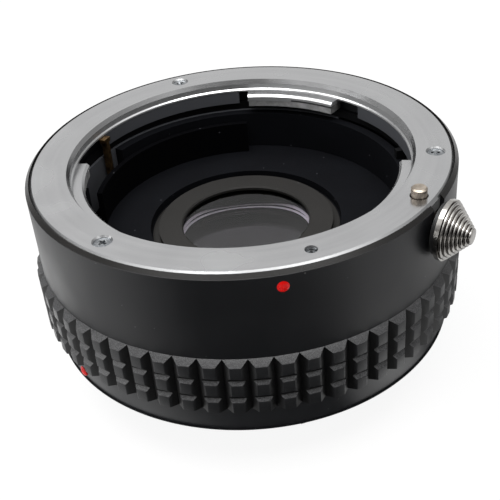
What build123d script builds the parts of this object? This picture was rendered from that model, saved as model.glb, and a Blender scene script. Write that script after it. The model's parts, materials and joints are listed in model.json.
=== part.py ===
# Camera teleconverter, lens side up, in millimetres.
# The origin is the centre of the rear mounting face. +Z is the optical axis, towards the lens.
# Azimuths are degrees about +Z from +X. The front of the photographed view is at -90.
import os
from math import asin, cos, degrees, radians, sin, sqrt

from build123d import *

# Body
BARREL_R = 30.4
SMOOTH_BAND = 12.53
SKIRT_HEIGHT = 5.12
RIM_DROP = 0.05
BEVEL_WIDTH = 0.52
BEVEL_DROP = 0.6
SKIRT_TAPER = 0.4
SKIRT_LIFT = 0.6
SKIRT_CHAMFER = 0.25
SLEEVE_WALL = 1.45
SLEEVE_LENGTH = 1.87
CAVITY_WALL = 3.05
CUT_OVERRUN = 1.0
SEAT_GAP = 0.05
THREAD_GAP = 0.02

# Grip blocks
GRIP_COLUMNS = 60
GRIP_ROWS = 3
GRIP_RAISE = 0.9
GRIP_FACE_HEIGHT = 1.75
GRIP_SHOULDER = 0.8
GRIP_ROW_DEPTH = 0.45
GRIP_ROW_SLOPE = 0.45
GRIP_ROW_FLOOR = 0.2
GRIP_FACE_SHARE = 0.44
GRIP_PHASE = 0.8

# Front bayonet ring
RIM_WIDTH = 0.6
RING_WIDTH = 5.75
RING_THICKNESS = 1.9
RING_CHAMFER = 0.4
THROAT_CHAMFER_WIDTH = 0.57
THROAT_CHAMFER_DEPTH = 0.65
THROAT_LIP_WIDTH = 0.2
THROAT_LIP_HEIGHT = 0.25
LUG_REACH = 1.61
LUG_THICKNESS = 2.0
LUG_ROOT = 1.25
LUG_ARCS = ((171.3, 223.8), (-62.4, -8.8), (48.1, 84.9))
LUG_END_ANGLE = 0.5
LUG_EDGE = 0.32
COLLAR_WINDOWS = ((38.0, 48.3), (84.7, 88.6), (149.8, 171.5))

# Leaf springs under the lugs
LEAF_THICKNESS = 0.95
LEAF_SLIT = 0.35
LEAF_SETBACK = 0.15
LEAF_SLIT_SHARE = 0.5

# Screws
SCREW_AZIMUTHS = (-10.8, 109.2, 229.2)
SCREW_INSET = 2.53
SCREW_HEAD_R = 1.32
SCREW_HEAD_DEPTH = 0.75
SCREW_SHANK_R = 0.75
SCREW_LENGTH = 5.0
RECESS_ARM = 1.0
RECESS_WIDTH = 0.32
RECESS_DEPTH = 0.5
TAPPED_HOLE_R = 0.82
TAPPED_HOLE_AZIMUTH = -74.2
TAPPED_HOLE_DEPTH = 3.4

# Lens lock
LOCK_AZIMUTH = -36.3
LOCK_INSET = 2.24
LOCK_TRAVEL = 1.6
PIN_R = 1.06
PIN_PROUD = 1.25
PIN_LENGTH = 10.0
PIN_CHAMFER = 0.2
PIN_HOLE_GAP = 0.15
BLOCK_WALL = 0.06
BLOCK_SETBACK = 0.3
BLOCK_WIDTH = 2.9
BLOCK_HEIGHT = 2.6
SLOT_SIDE_GAP = 0.08
SLOT_END_GAP = 0.4
SPRING_HOLE_DEPTH = 3.4
SPRING_HOLE_GAP = 0.07
SPRING_PIN_GAP = 0.08
SPRING_WIRE_R = 0.15
SPRING_TURNS = 7

# Release knob
KNOB_R = 4.1
KNOB_TIP_R = 0.95
KNOB_LENGTH = 3.75
KNOB_LAND = 0.7
KNOB_RIBS = 8
KNOB_GROOVE = 0.24
KNOB_RIB_START_SHARE = 0.15
KNOB_RIB_CREST_SHARE = 0.35
KNOB_RIB_FALL_SHARE = 0.3
KNOB_DROP = 4.0
KNOB_GAP = 0.95
WASHER_LIP = 0.6
WASHER_GAP = 0.28
STEM_R = 1.1
STEM_IN_KNOB = 1.9
STEM_IN_BLOCK = 1.3

# Index dots
DOT_R = 0.76
DOT_DEPTH = 0.4
DOT_CROWN = 0.25
FRONT_DOT_AZIMUTH = -83.0
FRONT_DOT_DROP = 2.2
REAR_DOT_AZIMUTH = -144.4
REAR_DOT_HEIGHT = 2.5

# Inner housing: chamber wall, chamber floor, hub and flange
CHAMBER_LEDGE = 1.15
CHAMBER_WALL = 1.45
FLOOR_THICKNESS = 1.2
FLOOR_LIP = 0.15
HOUSING_FLANGE_SETBACK = 0.95
HOUSING_FLANGE_THICKNESS = 1.8
HUB_WALL = 3.9
HUB_DROP = 6.3
HUB_SHOULDER = 0.95
HOUSING_SCREW_AZIMUTHS = (100.0, 220.0, 340.0)
HOUSING_SCREW_INSET = 1.4
FINGER_WINDOW = (144.0, 174.0)
FINGER_WINDOW_ROOM = 1.0

# Aperture coupling ring
POCKET_GAP = 0.05
POCKET_ROOM = 0.25
POCKET_HEIGHT = 1.4
COUPLING_SETBACK = 0.75
COUPLING_WIDTH = 0.7
COUPLING_TAB_REACH = 0.85
COUPLING_TAB_ARC = (7.5, 9.9)
COUPLING_LEG_AZIMUTH = 3.0
COUPLING_LEG_HALF_ANGLE = 4.0
COUPLING_TURN = 40.0
COUPLING_CHANNEL_MARGIN = 1.5
ARM_THICKNESS = 0.8
ARM_GAP = 0.7
ARM_STALK = 1.0
ARM_LIFT = 0.35
FOOT_SETBACK = 0.05
FOOT_THICKNESS = 1.1
FOOT_HALF_ANGLE = 3.0

# Stop-down ring, its finger and lever
STOP_RING_WIDTH = 4.0
STOP_RING_GAP = 0.05
STOP_RING_THICKNESS = 1.0
STOP_RING_ROOM = 0.5
STOP_AZIMUTH = 151.0
STOP_TURN = 16.0
FINGER_WALL_GAP = 0.2
FINGER_THICKNESS = 0.9
FINGER_WIDTH = 0.8
FINGER_FOOT_INSET = 2.4
FINGER_FOOT_WIDTH = 3.0
FINGER_FOOT_THICKNESS = 0.6
FINGER_TOP_GAP = 0.1
FINGER_TAB_WIDTH = 1.5
FINGER_TAB_HEIGHT = 0.7
LEVER_GAP = 0.6
LEVER_THICKNESS = 0.9
LEVER_FOOT_SETBACK = 0.2
LEVER_RING_REACH = 1.8
LEVER_FOOT_THICKNESS = 0.8
LEVER_WIDTH = 1.6
LEVER_TIP_ROUND = 0.5
RIVET_R = 0.45
RIVET_HEAD_R = 0.8
RIVET_HEAD_HEIGHT = 0.3
RIVET_INSET = 1.0
RIVET_SPREAD = 0.95
KEEPER_LIP = 0.95
KEEPER_GROOVE = 0.45
KEEPER_THICKNESS = 0.8
KEEPER_OPENING = 24.0

# Return springs of both rings, wire springs that hook on posts
WIRE_R = 0.25
EYE_R = 0.7
POST_R = 0.4
POST_GAP = 0.06
STOP_SPRING_INSET = 1.1
STOP_SPRING_POST_AZIMUTH = 100.0
STOP_SPRING_ANCHOR_AZIMUTH = 132.0
STOP_POST_LENGTH = 1.4
ARM_SPRING_INSET = 0.65
ARM_SPRING_ANCHOR_AZIMUTH = 92.0
ARM_SPRING_DROP = 2.2

# Guard on the chamber floor
GUARD_GAP = 1.2
GUARD_WALL = 0.8
GUARD_HEIGHT = 5.2
GUARD_ARC = (86.0, 175.0)

# Lens cell and glass
CELL_GROOVE_DEPTH = 1.2
CELL_WALL = 1.75
CELL_FLANGE_SETBACK = 1.35
CELL_FLANGE_THICKNESS = 1.5
CELL_TAIL_STEP = 0.8
CELL_LENGTH = 10.7
FRONT_KEEPER_WALL = 1.0
FRONT_KEEPER_SINK = 0.2
FRONT_KEEPER_HEIGHT = 1.6
FRONT_KEEPER_LIP = 0.6
GLASS_COVER = 2.76
LIP_DISH = 0.2
GLASS_GAP = 0.05
FRONT_LENS_EDGE = 2.6
FRONT_LENS_TOP_DISH = 0.75
FRONT_LENS_UNDER_DISH = 0.9
SECOND_LENS_EDGE = 1.0
SECOND_LENS_TOP_CROWN = 0.8
SECOND_LENS_UNDER_CROWN = 0.75
THIRD_LENS_EDGE = 2.2
THIRD_LENS_TOP_DISH = 0.7
THIRD_LENS_UNDER_DISH = 0.6
REAR_LENS_EDGE = 0.65
REAR_LENS_TOP_CROWN = 0.45
REAR_LENS_UNDER_CROWN = 0.7
FRONT_SPACER_HEIGHT = 1.0
MIDDLE_SPACER_HEIGHT = 1.2
REAR_SPACER_HEIGHT = 0.8
SPACER_WALL = 1.5
REAR_KEEPER_HEIGHT = 1.3

# Rear bayonet
REAR_FLANGE_SETBACK = 1.8
REAR_FLANGE_THICKNESS = 2.0
REAR_FLANGE_CHAMFER = 0.3
BAYONET_GAP = 0.14
SPIGOT_WALL = 1.5
MALE_LUG_GAP = 0.08
MALE_LUG_THICKNESS = 1.27
MALE_LUG_END_ANGLE = 2.0
GUARD_TONGUE_ARC = (-76.0, -30.0)
GUARD_TONGUE_REACH = 2.15
LOCK_NOTCH_R = 1.35
REAR_SCREW_COUNT = 5
REAR_SCREW_INSET = 1.6
REAR_SCREW_PHASE = 12.0
REAR_SCREW_LENGTH = 6.0
BAFFLE_THICKNESS = 0.6
BAFFLE_GAP = 0.2
BAFFLE_SLOT_GAP = 0.4
BAFFLE_SLOT_MARGIN = 2.5

# Radii that follow from the sizes above, from the barrel inwards
SKIRT_R = BARREL_R - SKIRT_TAPER
SLEEVE_R = BARREL_R - SLEEVE_WALL
REAR_CAVITY_R = SLEEVE_R - CAVITY_WALL
REAR_FLANGE_R = BARREL_R - REAR_FLANGE_SETBACK
REAR_SCREW_CIRCLE_R = REAR_FLANGE_R - REAR_SCREW_INSET
HOUSING_FLANGE_R = SLEEVE_R - HOUSING_FLANGE_SETBACK
HOUSING_SCREW_CIRCLE_R = HOUSING_FLANGE_R - HOUSING_SCREW_INSET
RING_R = BARREL_R - RIM_WIDTH
SCREW_CIRCLE_R = RING_R - SCREW_INSET
LOCK_CIRCLE_R = RING_R - LOCK_INSET
THROAT_R = RING_R - RING_WIDTH
COLLAR_R = THROAT_R + SEAT_GAP
LUG_INNER_R = THROAT_R - LUG_REACH
LUG_ROOT_R = THROAT_R + LUG_ROOT
CHAMBER_R = THROAT_R - CHAMBER_LEDGE
HOUSING_R = CHAMBER_R + CHAMBER_WALL
COUPLING_INNER_R = THROAT_R + COUPLING_SETBACK
COUPLING_OUTER_R = COUPLING_INNER_R + COUPLING_WIDTH
COUPLING_TAB_R = THROAT_R - COUPLING_TAB_REACH
POCKET_R = COUPLING_OUTER_R + POCKET_ROOM
FINGER_INNER_R = CHAMBER_R + FINGER_WALL_GAP
FINGER_OUTER_R = FINGER_INNER_R + FINGER_THICKNESS
FINGER_WINDOW_R = FINGER_OUTER_R + FINGER_WINDOW_ROOM
GUARD_R = CHAMBER_R - GUARD_GAP
MALE_LUG_R = THROAT_R - BAYONET_GAP
SPIGOT_R = LUG_INNER_R - BAYONET_GAP
SPIGOT_BORE_R = SPIGOT_R - SPIGOT_WALL
FOOT_R = MALE_LUG_R - FOOT_SETBACK
ARM_OUTER_R = SPIGOT_BORE_R - ARM_GAP
ARM_INNER_R = ARM_OUTER_R - ARM_STALK
LEVER_OUTER_R = SPIGOT_BORE_R - LEVER_GAP
LEVER_INNER_R = LEVER_OUTER_R - LEVER_THICKNESS
STOP_RING_R = LEVER_OUTER_R + LEVER_RING_REACH
LEVER_FOOT_R = STOP_RING_R - LEVER_FOOT_SETBACK
RIVET_CIRCLE_R = STOP_RING_R - RIVET_INSET
FINGER_FOOT_INNER_R = STOP_RING_R - FINGER_FOOT_INSET
HOUSING_FLANGE_INNER_R = STOP_RING_R + STOP_RING_ROOM
STOP_SPRING_R = STOP_RING_R - STOP_SPRING_INSET
ARM_SPRING_R = COUPLING_OUTER_R - ARM_SPRING_INSET
HUB_R = STOP_RING_R - STOP_RING_WIDTH - STOP_RING_GAP
KEEPER_R = HUB_R + KEEPER_LIP
HUB_BORE_R = HUB_R - HUB_WALL
FLOOR_OPENING_R = HUB_BORE_R + FLOOR_LIP
CELL_R = HUB_BORE_R - SEAT_GAP
CELL_FLANGE_R = HUB_R - CELL_FLANGE_SETBACK
CELL_TAIL_R = CELL_R - CELL_TAIL_STEP
FRONT_KEEPER_R = CELL_R - FRONT_KEEPER_WALL
CELL_BORE_R = CELL_R - CELL_WALL
GLASS_R = CELL_BORE_R - GLASS_GAP
GLASS_CLEAR_R = GLASS_R - GLASS_COVER
SPACER_INNER_R = GLASS_R - SPACER_WALL
BLOCK_INNER_R = LOCK_CIRCLE_R - PIN_R - BLOCK_WALL
BLOCK_OUTER_R = BARREL_R - BLOCK_SETBACK
PIN_HOLE_R = PIN_R + PIN_HOLE_GAP
SPRING_MEAN_R = PIN_R + SPRING_PIN_GAP + SPRING_WIRE_R
SPRING_HOLE_R = SPRING_MEAN_R + SPRING_WIRE_R + SPRING_HOLE_GAP
KNOB_BASE_R = BARREL_R + KNOB_GAP
WASHER_R = KNOB_R - WASHER_LIP

# Lens faces and spacers from the front to the rear; a positive sag is a crown
ELEMENT_EDGES = (FRONT_LENS_EDGE, SECOND_LENS_EDGE, THIRD_LENS_EDGE, REAR_LENS_EDGE)
ELEMENT_FRONT_SAGS = (
    -FRONT_LENS_TOP_DISH, SECOND_LENS_TOP_CROWN, -THIRD_LENS_TOP_DISH, REAR_LENS_TOP_CROWN
)
ELEMENT_REAR_SAGS = (
    -FRONT_LENS_UNDER_DISH, SECOND_LENS_UNDER_CROWN, -THIRD_LENS_UNDER_DISH, REAR_LENS_UNDER_CROWN
)
SPACER_HEIGHTS = (FRONT_SPACER_HEIGHT, MIDDLE_SPACER_HEIGHT, REAR_SPACER_HEIGHT)

# Heights that follow, from the rear face up and from the front face down
GRIP_ROW_PITCH = GRIP_FACE_HEIGHT + GRIP_ROW_SLOPE * 2 + GRIP_ROW_FLOOR
Z_GRIP = SKIRT_HEIGHT + GRIP_ROW_PITCH * (GRIP_ROWS - 1) + GRIP_FACE_HEIGHT + GRIP_SHOULDER
Z_FACE = Z_GRIP + SMOOTH_BAND
Z_SLEEVE = Z_GRIP - SLEEVE_LENGTH
Z_HOUSING_FLANGE = Z_SLEEVE
Z_FLOOR_UNDER = Z_HOUSING_FLANGE + HOUSING_FLANGE_THICKNESS
Z_FLOOR = Z_FLOOR_UNDER + FLOOR_THICKNESS
Z_HUB = Z_FLOOR_UNDER - HUB_DROP
Z_CELL = Z_FLOOR - CELL_GROOVE_DEPTH
Z_FRONT_KEEPER = Z_FLOOR - FRONT_KEEPER_SINK
Z_SEAT = Z_FACE - RING_THICKNESS
Z_LUG = Z_SEAT - LUG_THICKNESS
Z_POCKET_TOP = Z_LUG - POCKET_GAP
Z_POCKET = Z_POCKET_TOP - POCKET_HEIGHT
Z_KNOB = Z_FACE - KNOB_DROP
Z_SPIGOT = -(RING_THICKNESS + LUG_THICKNESS + MALE_LUG_GAP + MALE_LUG_THICKNESS)
Z_TONGUE = Z_SPIGOT - GUARD_TONGUE_REACH
Z_BAFFLE = REAR_FLANGE_THICKNESS
Z_ARM = Z_BAFFLE + BAFFLE_THICKNESS + ARM_LIFT
Z_STOP_RING_TOP = Z_HOUSING_FLANGE + STOP_RING_GAP * 2
Z_STOP_RING = Z_STOP_RING_TOP - STOP_RING_THICKNESS
Z_PIN_TOP = Z_FACE + PIN_PROUD
Z_PIN = Z_PIN_TOP - PIN_LENGTH
Z_BLOCK = Z_KNOB - BLOCK_HEIGHT / 2
Z_SLOT = Z_BLOCK - LOCK_TRAVEL - SLOT_END_GAP
Z_SPRING_HOLE = Z_SLOT - SPRING_HOLE_DEPTH


def turned(points, start=0, sweep=360):
    """A solid turned about the optical axis from an outline of (radius, height) points."""
    outline = make_face(Plane.XZ * Polyline(*points, close=True))
    return Rot(0, 0, start) * revolve(outline, Axis.Z, sweep)


def arc_wall(inner, outer, low, high, arc=(0, 360)):
    """A straight-sided ring, or the piece of one between two azimuths."""
    points = ((inner, low), (outer, low), (outer, high), (inner, high))
    return turned(points, arc[0], arc[1] - arc[0])


def upright(azimuth, radius, height, shape):
    """Stand a shape at an azimuth, radius and height."""
    return Rot(0, 0, azimuth) * Pos(radius, 0, height) * shape


def post(radius, low, high):
    """A plain round post or hole between two heights."""
    return Pos(0, 0, low) * Cylinder(radius, high - low, align=(Align.CENTER, Align.CENTER, Align.MIN))


def radial(azimuth, start, height, shape):
    """Lay a shape that was built along +Z so that it points outwards from a start radius."""
    return Rot(0, 0, azimuth) * Pos(start, 0, height) * Rot(0, 90, 0) * shape


def brick(azimuth, inner, outer, width, low, high):
    """A block that lies radially, between two radii and two heights."""
    block = Box(outer - inner, width, high - low)
    return upright(azimuth, (inner + outer) / 2, (low + high) / 2, block)


def group(shapes):
    """Several separate solids that share one node."""
    return Compound(children=list(shapes))


def widened(arc, angle):
    return (arc[0] - angle, arc[1] + angle)


# Fasteners
def screw(length):
    """Countersunk cross-head screw, its head flush with z = 0 and its shank below."""
    profile = (
        (0, 0),
        (SCREW_HEAD_R, 0),
        (SCREW_SHANK_R, -SCREW_HEAD_DEPTH),
        (SCREW_SHANK_R, -length),
        (0, -length),
    )
    solid = turned(profile)
    for turn in (0, 90):
        arm = Box(RECESS_ARM * 2, RECESS_WIDTH, RECESS_DEPTH * 2)
        solid -= Rot(0, 0, turn + 45) * arm
    return solid


def screw_hole(length):
    """The room that a countersunk screw takes, with a thread gap all round."""
    profile = (
        (0, CUT_OVERRUN),
        (SCREW_HEAD_R + THREAD_GAP, CUT_OVERRUN),
        (SCREW_HEAD_R + THREAD_GAP, 0),
        (SCREW_SHANK_R + THREAD_GAP, -SCREW_HEAD_DEPTH),
        (SCREW_SHANK_R + THREAD_GAP, -length - THREAD_GAP),
        (0, -length - THREAD_GAP),
    )
    return turned(profile)


def front_screw_places(shape):
    return [upright(a, SCREW_CIRCLE_R, Z_FACE, shape) for a in SCREW_AZIMUTHS]


def housing_screw_places(shape):
    turned_over = Rot(180, 0, 0) * shape
    places = HOUSING_SCREW_AZIMUTHS
    return [upright(a, HOUSING_SCREW_CIRCLE_R, Z_HOUSING_FLANGE, turned_over) for a in places]


def rear_screw_places(shape):
    turned_over = Rot(180, 0, 0) * shape
    step = 360 / REAR_SCREW_COUNT
    places = [REAR_SCREW_PHASE + step * i for i in range(REAR_SCREW_COUNT)]
    return [upright(a, REAR_SCREW_CIRCLE_R, 0, turned_over) for a in places]


# Travel of the coupling leg, and the channels that let it pass
def coupling_channel_arc(half_angle):
    low = COUPLING_LEG_AZIMUTH - half_angle - COUPLING_CHANNEL_MARGIN
    high = COUPLING_LEG_AZIMUTH + COUPLING_TURN + half_angle + COUPLING_CHANNEL_MARGIN
    return (low, high)


# Index dots
def dot_seat():
    return post(DOT_R + THREAD_GAP, -DOT_DEPTH - THREAD_GAP, CUT_OVERRUN)


def index_dot():
    """A small enamel bead: a flat plug with a domed top that stands proud of its seat."""
    dome_r = (DOT_R ** 2 + DOT_CROWN ** 2) / (2 * DOT_CROWN)
    plug = post(DOT_R, -DOT_DEPTH, 0)
    ball = Pos(0, 0, DOT_CROWN - dome_r) * Sphere(dome_r)
    cap = ball & post(DOT_R, 0, DOT_CROWN * 2)
    return plug + cap


def front_dot_place(shape):
    return radial(FRONT_DOT_AZIMUTH, BARREL_R, Z_FACE - FRONT_DOT_DROP, shape)


def skirt_radius(height):
    """The skirt tapers in a little from the grip to its lower edge."""
    share = (height - SKIRT_LIFT) / (SKIRT_HEIGHT - SKIRT_LIFT)
    return SKIRT_R + (BARREL_R - SKIRT_R) * share


def rear_dot_place(shape):
    return radial(REAR_DOT_AZIMUTH, skirt_radius(REAR_DOT_HEIGHT), REAR_DOT_HEIGHT, shape)


# Body shells
def lock_slot():
    """The slot in the front barrel that the lock block slides in, open at the rim."""
    inner = BLOCK_INNER_R - SLOT_SIDE_GAP
    width = BLOCK_WIDTH + SLOT_SIDE_GAP * 2
    slot = brick(LOCK_AZIMUTH, inner, BARREL_R + CUT_OVERRUN, width, Z_SLOT, Z_FACE + CUT_OVERRUN)
    spring_hole = upright(LOCK_AZIMUTH, LOCK_CIRCLE_R, 0, post(SPRING_HOLE_R, Z_SPRING_HOLE, Z_BLOCK))
    return slot + spring_hole


def front_barrel():
    profile = (
        (COLLAR_R, Z_POCKET_TOP),
        (COLLAR_R, Z_SEAT),
        (RING_R + SEAT_GAP, Z_SEAT),
        (RING_R + SEAT_GAP, Z_FACE - RIM_DROP),
        (BARREL_R - BEVEL_WIDTH, Z_FACE - RIM_DROP),
        (BARREL_R, Z_FACE - BEVEL_DROP),
        (BARREL_R, Z_GRIP),
        (SLEEVE_R, Z_GRIP),
        (SLEEVE_R, Z_SLEEVE),
        (HOUSING_FLANGE_R + SEAT_GAP, Z_SLEEVE),
        (HOUSING_FLANGE_R + SEAT_GAP, Z_FLOOR_UNDER),
        (HOUSING_R + SEAT_GAP, Z_FLOOR_UNDER),
        (HOUSING_R + SEAT_GAP, Z_POCKET),
        (POCKET_R, Z_POCKET),
        (POCKET_R, Z_POCKET_TOP),
    )
    solid = turned(profile)
    for arc in LUG_ARCS:
        cut_arc = widened(arc, LUG_END_ANGLE)
        solid -= arc_wall(CHAMBER_R, LUG_ROOT_R + SEAT_GAP, Z_POCKET_TOP, Z_SEAT, cut_arc)
    for arc in COLLAR_WINDOWS:
        solid -= arc_wall(CHAMBER_R, LUG_ROOT_R + SEAT_GAP, Z_POCKET_TOP, Z_SEAT, arc)
    channel = coupling_channel_arc(COUPLING_LEG_HALF_ANGLE)
    channel_top = Z_POCKET + POCKET_GAP
    solid -= arc_wall(CHAMBER_R, REAR_CAVITY_R, Z_SLEEVE, channel_top, channel)
    solid -= lock_slot()
    for hole in front_screw_places(screw_hole(SCREW_LENGTH)):
        solid -= hole
    for hole in housing_screw_places(screw_hole(SCREW_LENGTH)):
        solid -= hole
    tapped = post(TAPPED_HOLE_R, Z_FACE - TAPPED_HOLE_DEPTH, Z_FACE)
    solid -= upright(TAPPED_HOLE_AZIMUTH, SCREW_CIRCLE_R, 0, tapped)
    solid -= front_dot_place(dot_seat())
    return solid


def grip_outline():
    """Outer outline of the rear barrel, from the skirt edge up over the rows of blocks."""
    points = [
        (REAR_FLANGE_R + SEAT_GAP, SKIRT_LIFT),
        (SKIRT_R - SKIRT_CHAMFER, SKIRT_LIFT),
        (SKIRT_R, SKIRT_LIFT + SKIRT_CHAMFER),
        (BARREL_R, SKIRT_HEIGHT),
    ]
    face_r = BARREL_R + GRIP_RAISE
    for i in range(GRIP_ROWS):
        low = SKIRT_HEIGHT + GRIP_ROW_PITCH * i
        if i > 0:
            points.append((face_r - GRIP_ROW_DEPTH, low - GRIP_ROW_SLOPE - GRIP_ROW_FLOOR))
            points.append((face_r - GRIP_ROW_DEPTH, low - GRIP_ROW_SLOPE))
        points.append((face_r, low))
        points.append((face_r, low + GRIP_FACE_HEIGHT))
    points.append((BARREL_R, Z_GRIP))
    return points


def grip_groove():
    """One upright V groove between two columns of blocks."""
    outer = BARREL_R + GRIP_RAISE
    half_pitch = 180 / GRIP_COLUMNS
    half_width = outer * radians(half_pitch) * (1 - GRIP_FACE_SHARE)
    spread = (GRIP_RAISE + CUT_OVERRUN) / GRIP_RAISE
    tip = (BARREL_R, 0)
    left = (BARREL_R + GRIP_RAISE * spread, half_width * spread)
    right = (BARREL_R + GRIP_RAISE * spread, -half_width * spread)
    section = make_face(Polyline(tip, right, left, close=True))
    return Pos(0, 0, SKIRT_HEIGHT) * extrude(section, Z_GRIP - SKIRT_HEIGHT)


def rear_barrel():
    points = grip_outline()
    points += [
        (SLEEVE_R + SEAT_GAP, Z_GRIP),
        (SLEEVE_R + SEAT_GAP, Z_SLEEVE - SEAT_GAP),
        (REAR_CAVITY_R, Z_SLEEVE - SEAT_GAP),
        (REAR_CAVITY_R, REAR_FLANGE_THICKNESS),
        (REAR_FLANGE_R + SEAT_GAP, REAR_FLANGE_THICKNESS),
    ]
    solid = turned(points)
    groove = grip_groove()
    pitch = 360 / GRIP_COLUMNS
    grooves = [Rot(0, 0, GRIP_PHASE + pitch * (i + 0.5)) * groove for i in range(GRIP_COLUMNS)]
    solid = solid - grooves
    for hole in rear_screw_places(screw_hole(REAR_SCREW_LENGTH)):
        solid -= hole
    solid -= rear_dot_place(dot_seat())
    return solid


# Front bayonet
def leaf_arc(arc):
    return widened(arc, -degrees(LEAF_SETBACK / LUG_ROOT_R))


def front_bayonet_ring():
    profile = (
        (THROAT_R, Z_SEAT),
        (RING_R, Z_SEAT),
        (RING_R, Z_FACE - RING_CHAMFER),
        (RING_R - RING_CHAMFER, Z_FACE),
        (THROAT_R + THROAT_CHAMFER_WIDTH, Z_FACE),
        (THROAT_R + THROAT_LIP_WIDTH, Z_FACE - THROAT_CHAMFER_DEPTH),
        (THROAT_R + THROAT_LIP_WIDTH, Z_SEAT + THROAT_LIP_HEIGHT + THROAT_LIP_WIDTH),
        (THROAT_R, Z_SEAT + THROAT_LIP_HEIGHT),
    )
    solid = turned(profile)
    leaf_top = Z_LUG + LEAF_THICKNESS
    lug = (
        (LUG_INNER_R, leaf_top),
        (LUG_ROOT_R, leaf_top),
        (LUG_ROOT_R, Z_SEAT),
        (LUG_INNER_R + LUG_EDGE, Z_SEAT),
        (LUG_INNER_R, Z_SEAT - LUG_EDGE),
    )
    for arc in LUG_ARCS:
        solid += turned(lug, arc[0], arc[1] - arc[0])
        middle = arc[0] + (arc[1] - arc[0]) * LEAF_SLIT_SHARE
        slit_outer = THROAT_R + SEAT_GAP
        slit = (arc[0] - LUG_END_ANGLE, middle)
        solid -= arc_wall(LUG_INNER_R - SEAT_GAP, slit_outer, leaf_top, leaf_top + LEAF_SLIT, slit)
    for hole in front_screw_places(screw_hole(SCREW_LENGTH)):
        solid -= hole
    pin_hole = post(PIN_HOLE_R, Z_SEAT - CUT_OVERRUN, Z_FACE + CUT_OVERRUN)
    solid -= upright(LOCK_AZIMUTH, LOCK_CIRCLE_R, 0, pin_hole)
    tapped = post(TAPPED_HOLE_R, Z_SEAT - CUT_OVERRUN, Z_FACE + CUT_OVERRUN)
    solid -= upright(TAPPED_HOLE_AZIMUTH, SCREW_CIRCLE_R, 0, tapped)
    return solid


def lug_springs():
    """A thin leaf under each lug: seated on one half, free over the slit on the other."""
    leaves = []
    for arc in LUG_ARCS:
        inner = LUG_INNER_R + LEAF_SETBACK
        leaves.append(arc_wall(inner, LUG_ROOT_R, Z_LUG, Z_LUG + LEAF_THICKNESS, leaf_arc(arc)))
    return group(leaves)


def front_mount_screws():
    return group(front_screw_places(screw(SCREW_LENGTH)))


# Lens lock
def lock_pin():
    profile = (
        (0, Z_PIN),
        (PIN_R, Z_PIN),
        (PIN_R, Z_PIN_TOP - PIN_CHAMFER),
        (PIN_R - PIN_CHAMFER, Z_PIN_TOP),
        (0, Z_PIN_TOP),
    )
    return upright(LOCK_AZIMUTH, LOCK_CIRCLE_R, 0, turned(profile))


def lock_block():
    high = Z_BLOCK + BLOCK_HEIGHT
    solid = brick(LOCK_AZIMUTH, BLOCK_INNER_R, BLOCK_OUTER_R, BLOCK_WIDTH, Z_BLOCK, high)
    solid -= upright(LOCK_AZIMUTH, LOCK_CIRCLE_R, 0, post(PIN_R, Z_BLOCK, high))
    stem_hole = post(STEM_R, 0, STEM_IN_BLOCK + CUT_OVERRUN)
    solid -= radial(LOCK_AZIMUTH, BLOCK_OUTER_R - STEM_IN_BLOCK, Z_KNOB, stem_hole)
    return solid


def lock_spring():
    """Compression spring round the pin's lower end, between its hole and the block."""
    low = Z_SPRING_HOLE + SPRING_WIRE_R
    height = Z_BLOCK - SPRING_WIRE_R - low
    coil = Helix(height / SPRING_TURNS, height, SPRING_MEAN_R)
    wire = Plane(origin=coil @ 0, z_dir=coil % 0) * Circle(SPRING_WIRE_R)
    spring = sweep(wire, path=coil, is_frenet=True)
    return upright(LOCK_AZIMUTH, LOCK_CIRCLE_R, low, spring)


def knob_stem():
    start = BLOCK_OUTER_R - STEM_IN_BLOCK
    end = KNOB_BASE_R + STEM_IN_KNOB
    return radial(LOCK_AZIMUTH, start, Z_KNOB, post(STEM_R, 0, end - start))


def knob_washer():
    low = BARREL_R + WASHER_GAP
    thickness = KNOB_BASE_R - low
    disc = post(WASHER_R, 0, thickness) - post(STEM_R, 0, thickness)
    return radial(LOCK_AZIMUTH, low, Z_KNOB, disc)


def release_knob():
    """A cone of rounded ribs that steps down from the base to a small flat tip."""
    step = (KNOB_LENGTH - KNOB_LAND) / KNOB_RIBS
    drop = (KNOB_R - KNOB_TIP_R) / KNOB_RIBS
    points = [(0, 0), (KNOB_R, 0), (KNOB_R, KNOB_LAND)]
    for i in range(KNOB_RIBS):
        low = KNOB_LAND + step * i
        crest = KNOB_R - drop * (i + 0.5)
        points.append((crest - KNOB_GROOVE, low + step * KNOB_RIB_START_SHARE))
        points.append((crest, low + step * KNOB_RIB_CREST_SHARE))
        points.append((crest - KNOB_GROOVE * KNOB_RIB_FALL_SHARE, low + step))
    points.append((0, KNOB_LENGTH))
    cone = turned(points) - post(STEM_R, 0, STEM_IN_KNOB)
    return radial(LOCK_AZIMUTH, KNOB_BASE_R, Z_KNOB, cone)


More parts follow.
